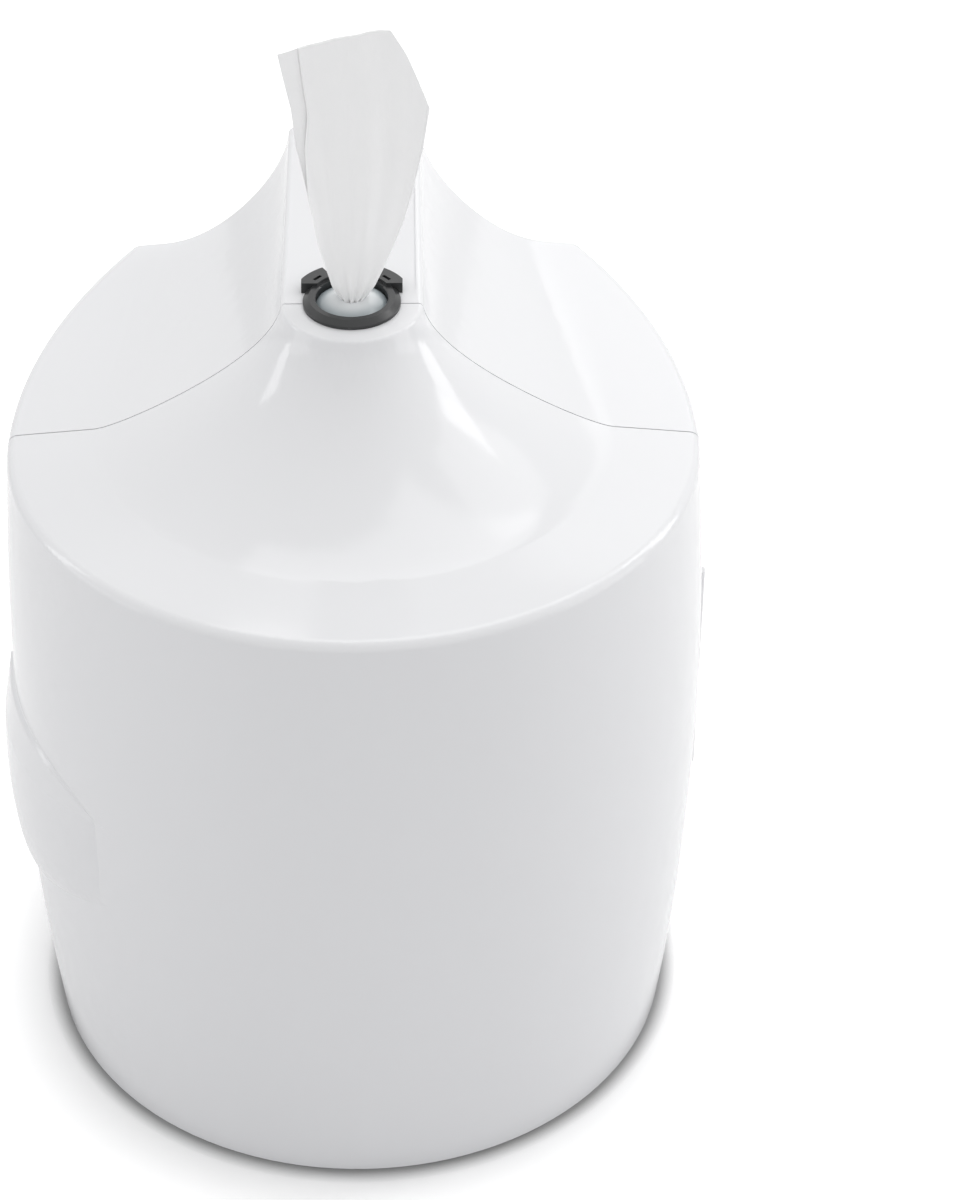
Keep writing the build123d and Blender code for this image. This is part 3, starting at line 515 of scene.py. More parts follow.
def build_dome_rubber():
    """The moulded rubber, painted paler round the hole as painted light and darker towards the collar as
    painted shade.
    """
    made = moulded(
        "grey_dome_rubber", (0.50, 0.54, 0.56), 0.00005,
        {"Wave Scale": 240.0, "Grain Scale": 1800.0, "Grain": 0.2, "Gloss": 0.15, "Handled": 0.06},
        IOR=1.55,
    )
    tree = made.node_tree
    shader = tree.nodes["Principled BSDF"]
    # Painted light and shade: pale near the hole, dark towards the collar, by distance from the axis.
    flat = tree.nodes.new("ShaderNodeVectorMath")
    flat.operation = "MULTIPLY"
    flat.inputs[1].default_value = (1, 1, 0)
    far = tree.nodes.new("ShaderNodeVectorMath")
    far.operation = "LENGTH"
    painted_light = tree.nodes.new("ShaderNodeMapRange")
    painted_light.interpolation_type = "SMOOTHSTEP"
    painted_light.inputs["From Min"].default_value = PAINTED_LIGHT_FROM
    painted_light.inputs["From Max"].default_value = PAINTED_LIGHT_TO
    tone = tree.nodes.new("ShaderNodeMix")
    tone.data_type = "RGBA"
    tone.inputs["A"].default_value = (0.70, 0.72, 0.73, 1)
    tone.inputs["B"].default_value = (0.30, 0.345, 0.365, 1)
    tree.links.new(object_vector(tree), flat.inputs[0])
    tree.links.new(flat.outputs["Vector"], far.inputs[0])
    tree.links.new(far.outputs["Value"], painted_light.inputs["Value"])
    tree.links.new(painted_light.outputs["Result"], tone.inputs["Factor"])
    tree.links.new(tone.outputs["Result"], shader.inputs["Base Color"])
    return made


dome = turned("dome", dome_profile(), build_dome_rubber())
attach(dome, "housing")
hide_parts("nozzle_dome")

# %% [markdown]
# The wipe is a nonwoven: fibres laid flat and tangled by water jets. It has no threads, only a fine
# streaky grain along the roll and rows of tiny jet marks. Where it is thin it is a touch darker.
# The pattern follows the cloth's own UV map, in metres, so that it bends with every fold.

# %% Nonwoven finish


def build_nonwoven_grain():
    """Fibre streaks and jet rows, as a height and as a mask of thin places."""
    group, given, out = new_group(
        "nonwoven_grain",
        [("Vector", "Vector", None), ("Fibre Scale", "Float", 900.0), ("Row Scale", "Float", 420.0)],
        [("Height", "Float"), ("Thin", "Float")],
    )
    stretch = group.nodes.new("ShaderNodeMapping")
    stretch.inputs["Scale"].default_value = (1.0, 0.16, 1.0)
    fibres = group.nodes.new("ShaderNodeTexNoise")
    fibres.inputs["Detail"].default_value = 5.0
    fibres.inputs["Distortion"].default_value = 0.8
    cloud = group.nodes.new("ShaderNodeTexNoise")
    cloud.inputs["Scale"].default_value = 90.0
    cloud.inputs["Detail"].default_value = 3.0
    rows = group.nodes.new("ShaderNodeTexWave")
    rows.inputs["Distortion"].default_value = 2.2
    rows.inputs["Detail"].default_value = 1.0
    rows.inputs["Detail Scale"].default_value = 2.0
    weak_rows = group.nodes.new("ShaderNodeMath")
    weak_rows.operation = "MULTIPLY_ADD"
    weak_rows.inputs[1].default_value = 0.35
    group.links.new(given.outputs["Vector"], stretch.inputs["Vector"])
    group.links.new(stretch.outputs["Vector"], fibres.inputs["Vector"])
    group.links.new(given.outputs["Vector"], cloud.inputs["Vector"])
    group.links.new(given.outputs["Vector"], rows.inputs["Vector"])
    group.links.new(given.outputs["Fibre Scale"], fibres.inputs["Scale"])
    group.links.new(given.outputs["Row Scale"], rows.inputs["Scale"])
    group.links.new(rows.outputs["Fac"], weak_rows.inputs[0])
    group.links.new(fibres.outputs["Fac"], weak_rows.inputs[2])
    group.links.new(weak_rows.outputs[0], out.inputs["Height"])
    group.links.new(cloud.outputs["Fac"], out.inputs["Thin"])
    return group


NONWOVEN_GRAIN = build_nonwoven_grain()


def nonwoven(name, dense, thin, bump, on_object=False, **values):
    """Cloth of tangled fibres, a touch darker where it is thin, mapped by its UVs or on the object."""
    made, tree, shader = principled(name, **values)
    group = tree.nodes.new("ShaderNodeGroup")
    group.node_tree = NONWOVEN_GRAIN
    if on_object:
        vector = object_vector(tree)
    else:
        flat_cloth = tree.nodes.new("ShaderNodeUVMap")
        flat_cloth.uv_map = "cloth"
        vector = flat_cloth.outputs["UV"]
    tone = tree.nodes.new("ShaderNodeMix")
    tone.data_type = "RGBA"
    tone.inputs["A"].default_value = (*dense, 1)
    tone.inputs["B"].default_value = (*thin, 1)
    tree.links.new(vector, group.inputs["Vector"])
    tree.links.new(group.outputs["Thin"], tone.inputs["Factor"])
    tree.links.new(tone.outputs["Result"], shader.inputs["Base Color"])
    add_bump(tree, shader, group.outputs["Height"], bump)
    return made


WIPE_CLOTH = nonwoven(
    "wipe_cloth", (0.98, 0.98, 0.98), (0.955, 0.957, 0.96), 0.00004,
    Roughness=0.9, Sheen_Weight=0.2, Sheen_Roughness=0.5,
)

# %% [markdown]
# The wipe comes off the roll 140 mm wide and is drawn through a hole of 8 mm, so it leaves the
# nozzle in soft round pleats. Further up it opens into three layers: a back one, a middle one and a
# front one that stops a little short of the left edge. The layers lie on each other, so they share
# the same big folds, which fan out from the nozzle and fade as the cloth opens.

# %% The wipe in the nozzle
WIPE_WIDTH = 0.140
TAIL_FOOT = -9.0
EDGE_ROWS = [
    # height above the platform, left edge, right edge, depth of the gather, in mm
    (-9.0, -3.4, 3.4, 3.4),
    (1.0, -3.7, 3.8, 3.7),
    (3.2, -4.2, 4.6, 4.1),
    (5.6, -5.8, 6.8, 4.9),
    (9.0, -7.8, 9.2, 5.6),
    (16.0, -9.9, 12.6, 5.9),
    (26.0, -12.4, 16.6, 6.2),
    (37.0, -13.8, 20.2, 6.0),
    (52.0, -16.8, 24.2, 4.6),
    (68.0, -20.2, 27.8, 2.9),
    (84.0, -21.6, 29.8, 1.7),
    (107.0, -25.9, 30.0, 0.95),
    (118.0, -28.4, 30.0, 0.85),
]
TOP_EDGE = [
    # share of the width, height of the cut end above the platform in mm
    (0.0, 106.5), (0.37, 112.5), (0.61, 115.6), (0.745, 116.0), (0.837, 106.2), (0.925, 93.8), (1.0, 83.8),
]
FRONT_STARTS = [(-9.0, 0.0), (46.0, 0.0), (80.0, 0.11), (118.0, 0.15)]
BACK_SHARE, MIDDLE_SHARE = 0.37, 0.33
COLUMNS, ROWS = 260, 140


def smooth(t):
    """Ease from 0 to 1 with level ends."""
    t = min(max(t, 0.0), 1.0)
    return t * t * (3 - 2 * t)


def along(rows, at, column=1):
    """Value of a column of rows at a height, from row to row."""
    return float(np.interp(at, [row[0] for row in rows], [row[column] for row in rows]))


def layer_point(u, height):
    """Share of the width, and side of the gather from -1 in front to 1 behind, at u across the cloth."""
    starts = along(FRONT_STARTS, height)
    if u < BACK_SHARE:
        return u / BACK_SHARE, 1.0
    u -= BACK_SHARE
    if u < MIDDLE_SHARE:
        return 1 - (1 - starts) * u / MIDDLE_SHARE, -0.1
    u = (u - MIDDLE_SHARE) / (1 - BACK_SHARE - MIDDLE_SHARE)
    return starts + (0.985 - starts) * u, -1.0


def folds(share, height):
    """The big folds, in mm towards the viewer, at a share of the width."""
    near = math.exp(-((height - 2.0) / 17.0) ** 2)
    open_cloth = smooth((height - 6.0) / 34.0) * (1 - 0.5 * smooth((height - 62.0) / 40.0))
    pinch = 0.75 * near * math.cos(2 * math.pi * (4.2 * share + 0.08))
    fan = 0.85 * math.sin(2 * math.pi * (1.9 * share + 0.12 + 0.0012 * height))
    fan += 0.55 * math.sin(2 * math.pi * (4.1 * share - 0.20 + 0.0021 * height))
    soft = 1.0 * noise.noise(Vector((share * 3.1, height * 0.022, 3.7)))
    return pinch + (fan + soft) * open_cloth


def tail_point(u, v):
    """Place of the cloth at u across and v up, in metres."""
    share_top, _ = layer_point(u, 100.0)
    top = float(np.interp(share_top, [p[0] for p in TOP_EDGE], [p[1] for p in TOP_EDGE]))
    height = TAIL_FOOT + (top - TAIL_FOOT) * v
    share, side = layer_point(u, height)
    left, right = along(EDGE_ROWS, height, 1), along(EDGE_ROWS, height, 2)
    round_off = math.sqrt(max(0.0, 1 - (2 * share - 1) ** 2))
    thick = along(EDGE_ROWS, height, 3) * (0.18 + 0.82 * round_off) * (0.95 - 0.38 * smooth(height / 18.0))
    own = 0.10 * thick * noise.noise(Vector((u * 17.0, height * 0.035, 8.1)))
    fine = 0.30 * math.exp(-((height + 2.0) / 9.0) ** 2) * math.sin(2 * math.pi * 23 * u)
    x = left + (right - left) * share + 0.2 * math.sin(height * 0.11 + 9 * u)
    lean = 1.2 * smooth(height / 60.0)
    y = lean + side * thick - folds(share, height) * (0.35 + 0.65 * round_off) - own - fine
    return (x * MM, y * MM, PLATFORM_Z + height * MM)


def grid_mesh(name, columns, rows, point, width, length, material):
    """A sheet of quads from a function of (u, v), with its UV map in metres of flat cloth."""
    us = [i / columns for i in range(columns + 1)]
    vs = [j / rows for j in range(rows + 1)]
    points = [point(u, v) for v in vs for u in us]
    wide = columns + 1
    faces = [
        (j * wide + i, j * wide + i + 1, (j + 1) * wide + i + 1, (j + 1) * wide + i)
        for j in range(rows) for i in range(columns)
    ]
    mesh = bpy.data.meshes.new(name)
    mesh.from_pydata(points, [], faces)
    layer = mesh.uv_layers.new(name="cloth")
    for loop in mesh.loops:
        j, i = divmod(loop.vertex_index, wide)
        layer.data[loop.index].uv = (us[i] * width, vs[j] * length)
    mesh.polygons.foreach_set("use_smooth", [True] * len(faces))
    mesh.materials.append(material)
    piece = add_object(name, mesh)
    return piece


def thicken(piece, name, thickness, offset=0.0):
    """Gives a single sheet its real thickness."""
    shell = piece.modifiers.new(name, "SOLIDIFY")
    shell.thickness = thickness
    shell.offset = offset


TAIL_LENGTH = 0.120
CLOTH_THICK = 0.00025
tail = grid_mesh("wipe_in_nozzle", COLUMNS, ROWS, tail_point, WIPE_WIDTH, TAIL_LENGTH, WIPE_CLOTH)
thicken(tail, "cloth_thickness", CLOTH_THICK)
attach(tail, "housing")
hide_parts("wipe_tail")
print("wipe area", round(sum(p.area for p in tail.data.polygons), 5), "of", round(WIPE_WIDTH * TAIL_LENGTH, 5))

# %% [markdown]
# The strand that feeds the nozzle is the same cloth, drawn out of the middle of the roll. Gathered
# to a tenth of its width it is all pleats, and the unwinding of the roll gives it a slow twist.

# %% Feeding strand
STRAND_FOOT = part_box("wipe_strand")[0].z
STRAND_TOP = PLATFORM_Z + (TAIL_FOOT + 1.0) * MM
STRAND_RADII = [(0.0, 11.6), (0.32, 10.2), (0.64, 7.0), (0.92, 4.7), (1.0, 4.1)]
STRAND_PLEATS = 15
PLEAT_DEPTH = 4.7
STRAND_TWIST = 2.2
STRAND_COLUMNS, STRAND_ROWS = 300, 60


def strand_point(u, v):
    """Place on the strand: u round it, v up from inside the roll to the nozzle."""
    outer = along(STRAND_RADII, v)
    depth = min(PLEAT_DEPTH, 0.82 * outer)
    wander = 0.5 * noise.noise(Vector((u * 9.0, v * 4.0, 5.2)))
    wave = 0.5 - 0.5 * math.cos(2 * math.pi * STRAND_PLEATS * (u + 0.03 * wander))
    radius = outer - depth * wave * (0.85 + 0.3 * wander)
    turn = 2 * math.pi * u + STRAND_TWIST * v
    sway = 0.9 * math.sin(5.0 * v) * (1 - v)
    height = STRAND_FOOT + (STRAND_TOP - STRAND_FOOT) * v
    return ((radius * math.cos(turn) + sway) * MM, radius * math.sin(turn) * MM, height)


STRAND_LENGTH = STRAND_TOP - STRAND_FOOT
strand = grid_mesh(
    "feeding_strand", STRAND_COLUMNS, STRAND_ROWS, strand_point, WIPE_WIDTH, STRAND_LENGTH, WIPE_CLOTH,
)
thicken(strand, "cloth_thickness", CLOTH_THICK)
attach(strand, "housing")
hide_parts("wipe_strand")

# %% [markdown]
# The roll has no core. It is one strip wound on itself, so its top is a real spiral: each turn is a
# soft crest between two grooves, and no two turns stand quite level.

# %% The wound roll
ROLL_TURNS = 62
ROLL_STEPS = 150
ROLL_LOW, ROLL_HIGH = (corner.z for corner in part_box("wipe_roll"))
ROLL_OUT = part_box("wipe_roll")[1].x
ROLL_EYE = 17.0 * MM
ROLL_EDGE = 6.0 * MM
GROOVE = 0.55 * MM


def round_shoulder(radius):
    """How far the flat end has dropped towards the rounded outer edge, at a radius."""
    reach = radius - (ROLL_OUT - ROLL_EDGE)
    if reach <= 0:
        return 0.0
    reach = min(reach, ROLL_EDGE)
    return ROLL_EDGE - math.sqrt(ROLL_EDGE ** 2 - reach ** 2)


def make_wound_roll():
    """A mesh that follows the spiral: groove and crest lines on top, plain walls and underside."""
    pitch = (ROLL_OUT - ROLL_EYE) / (ROLL_TURNS + 1)
    total = ROLL_STEPS * ROLL_TURNS

    def spot(step, shift, z):
        radius = ROLL_EYE + (step / ROLL_STEPS + shift) * pitch
        turn = 2 * math.pi * step / ROLL_STEPS
        return (radius * math.cos(turn), radius * math.sin(turn), z), radius

    points = []
    for step in range(total + ROLL_STEPS + 1):
        (x, y, _), radius = spot(step, 0.0, 0.0)
        points.append((x, y, ROLL_HIGH - GROOVE * 1.6 - round_shoulder(radius)))
    crest = len(points)
    for step in range(total + 1):
        (x, y, _), radius = spot(step, 0.5, 0.0)
        uneven = noise.noise(Vector((step * 0.021, 1.7, 0.0))) + noise.noise(Vector((radius * 900, 4.1, 0.0)))
        points.append((x, y, ROLL_HIGH - GROOVE * (0.55 - 0.45 * uneven) - round_shoulder(radius)))
    foot_in = len(points)
    for step in range(ROLL_STEPS + 1):
        points.append(spot(step, 0.0, ROLL_LOW)[0])
    side = len(points)
    for step in range(total, total + ROLL_STEPS + 1):
        points.append(spot(step, 0.0, ROLL_LOW + ROLL_EDGE)[0])
    foot_out = len(points)
    for step in range(total, total + ROLL_STEPS + 1):
        points.append(spot(step, -ROLL_EDGE / pitch * 0.4, ROLL_LOW)[0])
    faces = []
    for step in range(total):
        faces.append((step, step + 1, crest + step + 1, crest + step))
        outer = step + ROLL_STEPS
        faces.append((crest + step, crest + step + 1, outer + 1, outer))
    for step in range(ROLL_STEPS):
        faces.append((step + 1, step, foot_in + step, foot_in + step + 1))
        faces.append((total + step, total + step + 1, side + step + 1, side + step))
        faces.append((side + step, side + step + 1, foot_out + step + 1, foot_out + step))
        faces.append((foot_out + step, foot_out + step + 1, foot_in + step + 1, foot_in + step))
    last = ROLL_STEPS
    faces.append((0, last, foot_in + last, foot_in))
    faces.append((total + last, total, side, side + last))
    faces.append((side + last, side, foot_out, foot_out + last))
    faces.append((foot_out + last, foot_out, foot_in, foot_in + last))
    mesh = bpy.data.meshes.new("wipe_roll_wound")
    mesh.from_pydata(points, [], faces)
    close_mesh(mesh, 50)
    return mesh


ROLL_CLOTH = nonwoven(
    "roll_cloth", (0.90, 0.903, 0.91), (0.84, 0.845, 0.855), 0.00012, on_object=True,
    Roughness=0.92, Sheen_Weight=0.2, Sheen_Roughness=0.5,
)
roll = add_object("wipe_roll_wound", make_wound_roll())
roll.data.materials.append(ROLL_CLOTH)
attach(roll, "housing")
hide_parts("wipe_roll")
print("roll", len(roll.data.polygons), "faces")

# %% [markdown]
# The roll stands in its film bag. The side is drawn tight by the weight of the roll, with a few
# upright creases. The shoulder has far more film than it needs, so it lies in radial pleats round a
# mouth that was torn open by hand.

# %% Film bag
BAG_LOW, BAG_HIGH = (corner.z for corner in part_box("refill_bag"))
BAG_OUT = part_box("refill_bag")[1].x
BAG_SHOULDER = BAG_HIGH - 12.0 * MM
BAG_MOUTH = 46.0 * MM
BAG_COLUMNS, BAG_ROWS = 288, 84
BAG_PLEATS = 40
BAG_AROUND, BAG_ALONG = 0.66, 0.38
FLOOR_SHARE, SIDE_SHARE, TOP_SHARE = 0.22, 0.50, 0.28
FILM_THICK = 0.12 * MM


def bag_point(u, v):
    """Place on the bag: u round it, v from the middle of its floor, up the side and in to the mouth."""
    turn = 2 * math.pi * u
    around = Vector((math.cos(turn), math.sin(turn), 0.0))
    crease = abs(noise.noise(around * 6.0 + Vector((0, 0, 2.0))))
    if v < FLOOR_SHARE:
        radius = BAG_OUT * v / FLOOR_SHARE
        return (*(around.xy * min(radius, BAG_OUT - 0.5 * MM)), BAG_LOW + 0.4 * MM)
    if v < FLOOR_SHARE + SIDE_SHARE:
        share = (v - FLOOR_SHARE) / SIDE_SHARE
        height = BAG_LOW + (BAG_SHOULDER - BAG_LOW) * share
        ripple = noise.noise(around * 4.0 + Vector((0, 0, height * 30)))
        radius = BAG_OUT - (0.35 + 1.3 * crease * smooth(share * 1.2) + 0.35 * abs(ripple)) * MM
        if share > 0.94:
            radius -= 3.0 * MM * ((share - 0.94) / 0.06) ** 2
        return (*(around.xy * radius), height)
    share = (v - FLOOR_SHARE - SIDE_SHARE) / TOP_SHARE
    torn = 3.0 * MM * noise.noise(around * 5.0 + Vector((3.1, 0, 0)))
    mouth = BAG_MOUTH + 4.0 * MM + torn
    radius = BAG_OUT - 4.0 * MM + (mouth - BAG_OUT + 4.0 * MM) * share
    wobble = 2.0 * noise.noise(around * 3.0)
    pleat = math.sin(BAG_PLEATS * turn + wobble + 2.5 * share)
    depth = (0.4 + 1.9 * share) * MM
    rise = (BAG_HIGH - BAG_SHOULDER - 2.6 * MM) * math.sin(0.5 * math.pi * share)
    return (*(around.xy * radius), BAG_SHOULDER + rise + depth * pleat - 0.4 * MM)


def build_film():
    """Clear polyethylene film: mostly see-through, milky along its creases, with a soft shine."""
    made, tree, shader = principled(
        "bag_film", Base_Color=(0.93, 0.945, 0.96, 1), Roughness=0.18, IOR=1.5,
    )
    vector = object_vector(tree)
    crumple = tree.nodes.new("ShaderNodeTexNoise")
    crumple.inputs["Scale"].default_value = 55.0
    crumple.inputs["Detail"].default_value = 6.0
    crumple.inputs["Distortion"].default_value = 1.4
    milk = tree.nodes.new("ShaderNodeMapRange")
    milk.inputs["From Min"].default_value = 0.35
    milk.inputs["From Max"].default_value = 0.70
    milk.inputs["To Min"].default_value = 0.12
    milk.inputs["To Max"].default_value = 0.34
    tree.links.new(vector, crumple.inputs["Vector"])
    tree.links.new(crumple.outputs["Fac"], milk.inputs["Value"])
    tree.links.new(milk.outputs["Result"], shader.inputs["Alpha"])
    add_bump(tree, shader, crumple.outputs["Fac"], 0.00025)
    return made


BAG_FILM = build_film()
bag = grid_mesh("film_bag", BAG_COLUMNS, BAG_ROWS, bag_point, BAG_AROUND, BAG_ALONG, BAG_FILM)
weld = bmesh.new()
weld.from_mesh(bag.data)
bmesh.ops.remove_doubles(weld, verts=weld.verts, dist=MERGE)
weld.to_mesh(bag.data)
weld.free()
thicken(bag, "film_thickness", FILM_THICK, -1.0)
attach(bag, "housing")
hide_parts("refill_bag")

# %% [markdown]
# Metal comes in two finishes. Screws, keeper, cam and pin are zinc plated: a pale blue-grey with a
# faint bloom and a fine brushed grain. The lock is chromed, brighter, with hairline scratches.

# %% Metal finishes


def build_metal_skin():
    """Grain height, roughness and tint mask of plated steel."""
    group, given, out = new_group(
        "metal_skin",
        [("Vector", "Vector", None), ("Scale", "Float", 400.0), ("Rough Min", "Float", 0.2),
         ("Rough Max", "Float", 0.4), ("Stretch", "Vector", (1.0, 1.0, 0.08))],
        [("Height", "Float"), ("Roughness", "Float"), ("Bloom", "Float")],
    )
    stretch = group.nodes.new("ShaderNodeMapping")
    grain = group.nodes.new("ShaderNodeTexNoise")
    grain.inputs["Detail"].default_value = 3.0
    bloom = group.nodes.new("ShaderNodeTexNoise")
    bloom.inputs["Scale"].default_value = 130.0
    bloom.inputs["Detail"].default_value = 4.0
    bloom.inputs["Distortion"].default_value = 0.7
    spread = group.nodes.new("ShaderNodeMapRange")
    spread.inputs["From Min"].default_value = 0.35
    spread.inputs["From Max"].default_value = 0.65
    group.links.new(given.outputs["Vector"], stretch.inputs["Vector"])
    group.links.new(given.outputs["Stretch"], stretch.inputs["Scale"])
    group.links.new(stretch.outputs["Vector"], grain.inputs["Vector"])
    group.links.new(given.outputs["Scale"], grain.inputs["Scale"])
    group.links.new(given.outputs["Vector"], bloom.inputs["Vector"])
    group.links.new(grain.outputs["Fac"], out.inputs["Height"])
    group.links.new(bloom.outputs["Fac"], spread.inputs["Value"])
    group.links.new(given.outputs["Rough Min"], spread.inputs["To Min"])
    group.links.new(given.outputs["Rough Max"], spread.inputs["To Max"])
    group.links.new(spread.outputs["Result"], out.inputs["Roughness"])
    group.links.new(bloom.outputs["Fac"], out.inputs["Bloom"])
    return group


METAL_SKIN = build_metal_skin()


def plated(name, light, dark, bump, skin):
    """Plated steel whose tint drifts between two tones."""
    made, tree, shader = principled(name, Metallic=1.0)
    group = tree.nodes.new("ShaderNodeGroup")
    group.node_tree = METAL_SKIN
    for socket, value in skin.items():
        group.inputs[socket].default_value = value
    tone = tree.nodes.new("ShaderNodeMix")
    tone.data_type = "RGBA"
    tone.inputs["A"].default_value = (*light, 1)
    tone.inputs["B"].default_value = (*dark, 1)
    tree.links.new(object_vector(tree), group.inputs["Vector"])
    tree.links.new(group.outputs["Bloom"], tone.inputs["Factor"])
    tree.links.new(tone.outputs["Result"], shader.inputs["Base Color"])
    tree.links.new(group.outputs["Roughness"], shader.inputs["Roughness"])
    add_bump(tree, shader, group.outputs["Height"], bump)
    return made


ZINC = plated("zinc_plate", (0.74, 0.76, 0.78), (0.56, 0.58, 0.62), 0.00004, {"Scale": 500.0})
CHROME = plated(
    "chrome_plate", (0.83, 0.84, 0.85), (0.74, 0.75, 0.77), 0.000012,
    {"Scale": 1400.0, "Rough Min": 0.06, "Rough Max": 0.16, "Stretch": (0.1, 1.0, 1.0)},
)
TRAY_PLASTIC = moulded(
    "tray_plastic", (0.74, 0.745, 0.76), 0.0001,
    {"Wave Scale": 40.0, "Grain Scale": 1500.0, "Grain": 0.8, "Gloss": 0.38, "Handled": 0.08},
    IOR=1.5,
)

# %% Dress the hardware
dressed("base_tray", TRAY_PLASTIC, "tray")
dressed("nozzle_retainer", BLACK_PLASTIC, "retainer_ring", bevel=0.0002)
for node, name, metal, slot, edge in [
    ("hinge_pin", "pin", ZINC, "zinc_steel", 0.0002),
    ("lock_barrel", "lock_body", CHROME, "chrome_zinc", 0.0003),
    ("lock_core", "lock_plug", CHROME, "chrome_zinc", 0.0002),
    ("lock_washer", "washer", ZINC, "zinc_steel", 0.0),
    ("lock_nut", "nut", ZINC, "zinc_steel", 0.0003),
    ("lock_cam", "cam", ZINC, "zinc_steel", 0.0002),
    ("keeper", "keeper_plate", ZINC, "zinc_steel", 0.0002),
    ("cam_screw", "screw_of_cam", ZINC, "zinc_steel", 0.00015),
]:
    dressed(node, metal, name, bevel=edge)

# %% [markdown]
# Four countersunk screws hold the tray and two pan-head ones hold the keeper. One screw of each kind
# is modelled: rings of points run out from the bottom of the cross recess, over the head and up the
# shank, where the radius rises and falls with the turn, which is what a thread is. Geometry Nodes
# then set a copy at each hole, every one turned a little further, as screws come to rest by chance.

# %% One screw
SCREW_SEGMENTS = 64
THREAD_PITCH = 1.0 * MM
THREAD_DEPTH = 0.28 * MM
THREAD_ROWS = 6
SCREW_TIP = 1.6 * MM
SCREW_TURN = 0.83
CROSS_HALF = 0.42 * MM
CROSS_SHARE = 0.68
# share of the way from the middle to the cross's outline, and how deep the recess is there
CROSS_ROWS = [(0.0, 1.15 * MM), (0.35, 1.0 * MM), (0.86, 0.5 * MM), (1.0, 0.0)]


def cross_reach(share, head_r):
    """How far the cross runs out from the screw's middle, at a share of the full turn."""
    off = abs((share * 4 + 0.5) % 1.0 - 0.5) * math.pi / 2
    return min(CROSS_SHARE * head_r / math.cos(off), CROSS_HALF / max(math.sin(off), 1e-6))


def screw_mesh(name, head_r, shank_r, length, head_rows):
    """A screw that points up from the middle of the face of its head; head_rows lead from face to shank."""
    shank_z = head_rows[-1][1]
    threads = int((length - SCREW_TIP - shank_z) / THREAD_PITCH * THREAD_ROWS)
    shank = [(shank_r, shank_z + THREAD_PITCH * (i + 1) / THREAD_ROWS) for i in range(threads)]
    rows = CROSS_ROWS + head_rows + shank + [(0.35 * shank_r, length - 0.3 * MM), (0.0, length)]
    first_thread = len(CROSS_ROWS) + len(head_rows)
    points = []
    for index, (r, z) in enumerate(rows):
        for turn in range(SCREW_SEGMENTS):
            share = turn / SCREW_SEGMENTS
            angle = 2 * math.pi * share
            radius = r
            if index < len(CROSS_ROWS):
                radius = r * cross_reach(share, head_r)
            elif first_thread <= index < len(rows) - 2:
                phase = (z / THREAD_PITCH - share) % 1.0
                radius = r - THREAD_DEPTH * min(abs(2 * phase - 1) * 1.5, 1.0)
            points.append((radius * math.cos(angle), radius * math.sin(angle), z))
    faces = []
    for row in range(len(rows) - 1):
        for turn in range(SCREW_SEGMENTS):
            after = (turn + 1) % SCREW_SEGMENTS
            a, b = row * SCREW_SEGMENTS, (row + 1) * SCREW_SEGMENTS
            faces.append((a + turn, a + after, b + after, b + turn))
    mesh = bpy.data.meshes.new(name)
    mesh.from_pydata(points, [], faces)
    close_mesh(mesh, 38, merge=True)
    return mesh


# %% Set screws in their holes


def build_screw_setter():
    """Geometry Nodes: a copy of one screw at each hole, each turned further about its own axis."""
    tree = bpy.data.node_groups.new("set_screws", "GeometryNodeTree")
    for socket, side, kind in [
        ("Holes", "INPUT", "Geometry"), ("Screw", "INPUT", "Object"), ("Turn", "INPUT", "Vector"),
        ("Turn Step", "INPUT", "Float"), ("Finish", "INPUT", "Material"), ("Screws", "OUTPUT", "Geometry"),
    ]:
        tree.interface.new_socket(name=socket, in_out=side, socket_type="NodeSocket" + kind)
    given, out = tree.nodes.new("NodeGroupInput"), tree.nodes.new("NodeGroupOutput")
    screw = tree.nodes.new("GeometryNodeObjectInfo")
    place = tree.nodes.new("GeometryNodeInstanceOnPoints")
    index = tree.nodes.new("GeometryNodeInputIndex")
    step = tree.nodes.new("ShaderNodeMath")
    step.operation = "MULTIPLY"
    spin = tree.nodes.new("ShaderNodeCombineXYZ")
    turned_on = tree.nodes.new("GeometryNodeRotateInstances")
    turned_on.inputs["Local Space"].default_value = True
    realize = tree.nodes.new("GeometryNodeRealizeInstances")
    finish = tree.nodes.new("GeometryNodeSetMaterial")
    tree.links.new(given.outputs["Screw"], screw.inputs["Object"])
    tree.links.new(given.outputs["Holes"], place.inputs["Points"])
    tree.links.new(screw.outputs["Geometry"], place.inputs["Instance"])
    tree.links.new(given.outputs["Turn"], place.inputs["Rotation"])
    tree.links.new(index.outputs["Index"], step.inputs[0])
    tree.links.new(given.outputs["Turn Step"], step.inputs[1])
    tree.links.new(step.outputs[0], spin.inputs["Z"])
    tree.links.new(place.outputs["Instances"], turned_on.inputs["Instances"])
    tree.links.new(spin.outputs[0], turned_on.inputs["Rotation"])
    tree.links.new(turned_on.outputs["Instances"], realize.inputs["Geometry"])
    tree.links.new(realize.outputs["Geometry"], finish.inputs["Geometry"])
    tree.links.new(given.outputs["Finish"], finish.inputs["Material"])
    tree.links.new(finish.outputs["Geometry"], out.inputs["Screws"])
    return tree


SET_SCREWS = build_screw_setter()


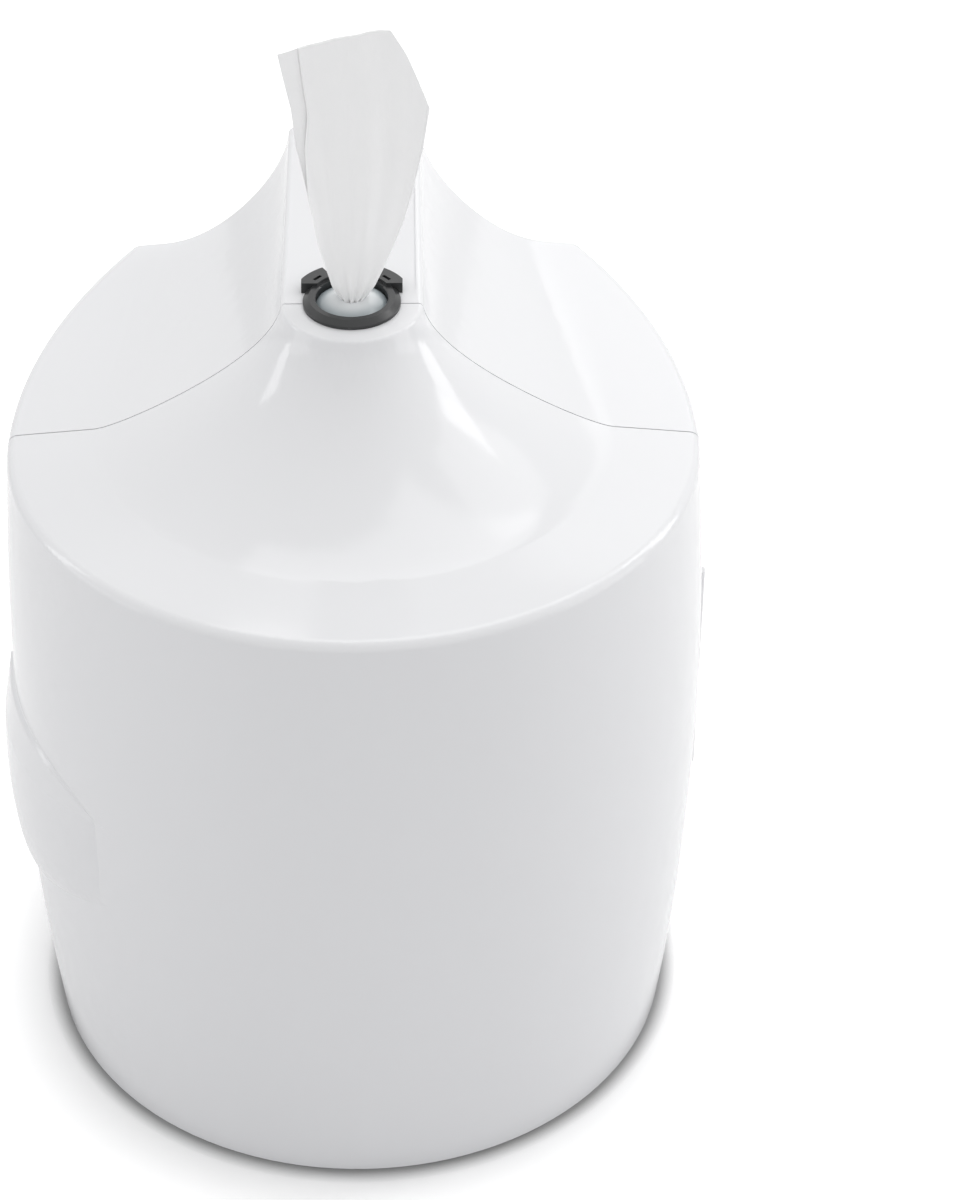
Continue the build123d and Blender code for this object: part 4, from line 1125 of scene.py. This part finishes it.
def set_screws(name, node, screw, holes, turn):
    """Screws in their holes, as one plain mesh that stands for the node."""
    template = add_object(name + "_one", screw)
    dots = bpy.data.meshes.new(name + "_holes")
    dots.from_pydata(holes, [], [])
    carrier = add_object(name + "_carrier", dots)
    modifier = carrier.modifiers.new("set_screws", "NODES")
    modifier.node_group = SET_SCREWS
    values = {"Screw": template, "Turn": turn, "Turn Step": SCREW_TURN, "Finish": ZINC}
    for item in SET_SCREWS.interface.items_tree:
        if item.in_out == "INPUT" and item.name in values:
            modifier[item.identifier] = values[item.name]
    graph = bpy.context.evaluated_depsgraph_get()
    mesh = bpy.data.meshes.new_from_object(carrier.evaluated_get(graph))
    mesh.name = name
    mesh.materials.clear()
    mesh.materials.append(ZINC)
    mesh.polygons.foreach_set("material_index", [0] * len(mesh.polygons))
    carrier.modifiers.remove(modifier)
    bpy.data.objects.remove(carrier)
    bpy.data.objects.remove(template)
    piece = add_object(name, mesh)
    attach(piece, body_of(node))
    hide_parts(node)
    print(name, len(mesh.polygons), "faces")


low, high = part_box("tray_screws")
TRAY_HEAD_R = 3.1 * MM
TRAY_SHANK_R = 1.6 * MM
BACK_HOLE_X = 62.0 * MM
side_x, back_y = high.x - TRAY_HEAD_R, high.y - TRAY_HEAD_R
front_y = low.y + TRAY_HEAD_R
TRAY_HOLES = [(x, y, low.z) for x, y in (
    (BACK_HOLE_X, back_y), (-BACK_HOLE_X, back_y), (side_x, front_y), (-side_x, front_y),
)]
countersunk = screw_mesh(
    "countersunk_screw", TRAY_HEAD_R, TRAY_SHANK_R, high.z - low.z,
    [(TRAY_HEAD_R, 0.0), (TRAY_HEAD_R, 0.25 * MM), (TRAY_SHANK_R, 1.8 * MM)],
)
set_screws("screws_of_tray", "tray_screws", countersunk, TRAY_HOLES, (0, 0, 0))

low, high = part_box("keeper_screws")
KEEPER_HEAD_R = (high.z - low.z) / 2
KEEPER_SHANK_R = 1.5 * MM
FACE_SHARE = 0.9
middle_z = (high.z + low.z) / 2
KEEPER_HOLES = [(high.x, low.y + KEEPER_HEAD_R, middle_z), (high.x, high.y - KEEPER_HEAD_R, middle_z)]
pan_head = screw_mesh(
    "pan_head_screw", KEEPER_HEAD_R * FACE_SHARE, KEEPER_SHANK_R, high.x - low.x,
    [(KEEPER_HEAD_R * FACE_SHARE, 0.0), (KEEPER_HEAD_R, 0.4 * MM), (KEEPER_HEAD_R, 1.7 * MM),
     (KEEPER_SHANK_R, 1.75 * MM)],
)
set_screws("screws_of_keeper", "keeper_screws", pan_head, KEEPER_HOLES, (0, -math.pi / 2, 0))
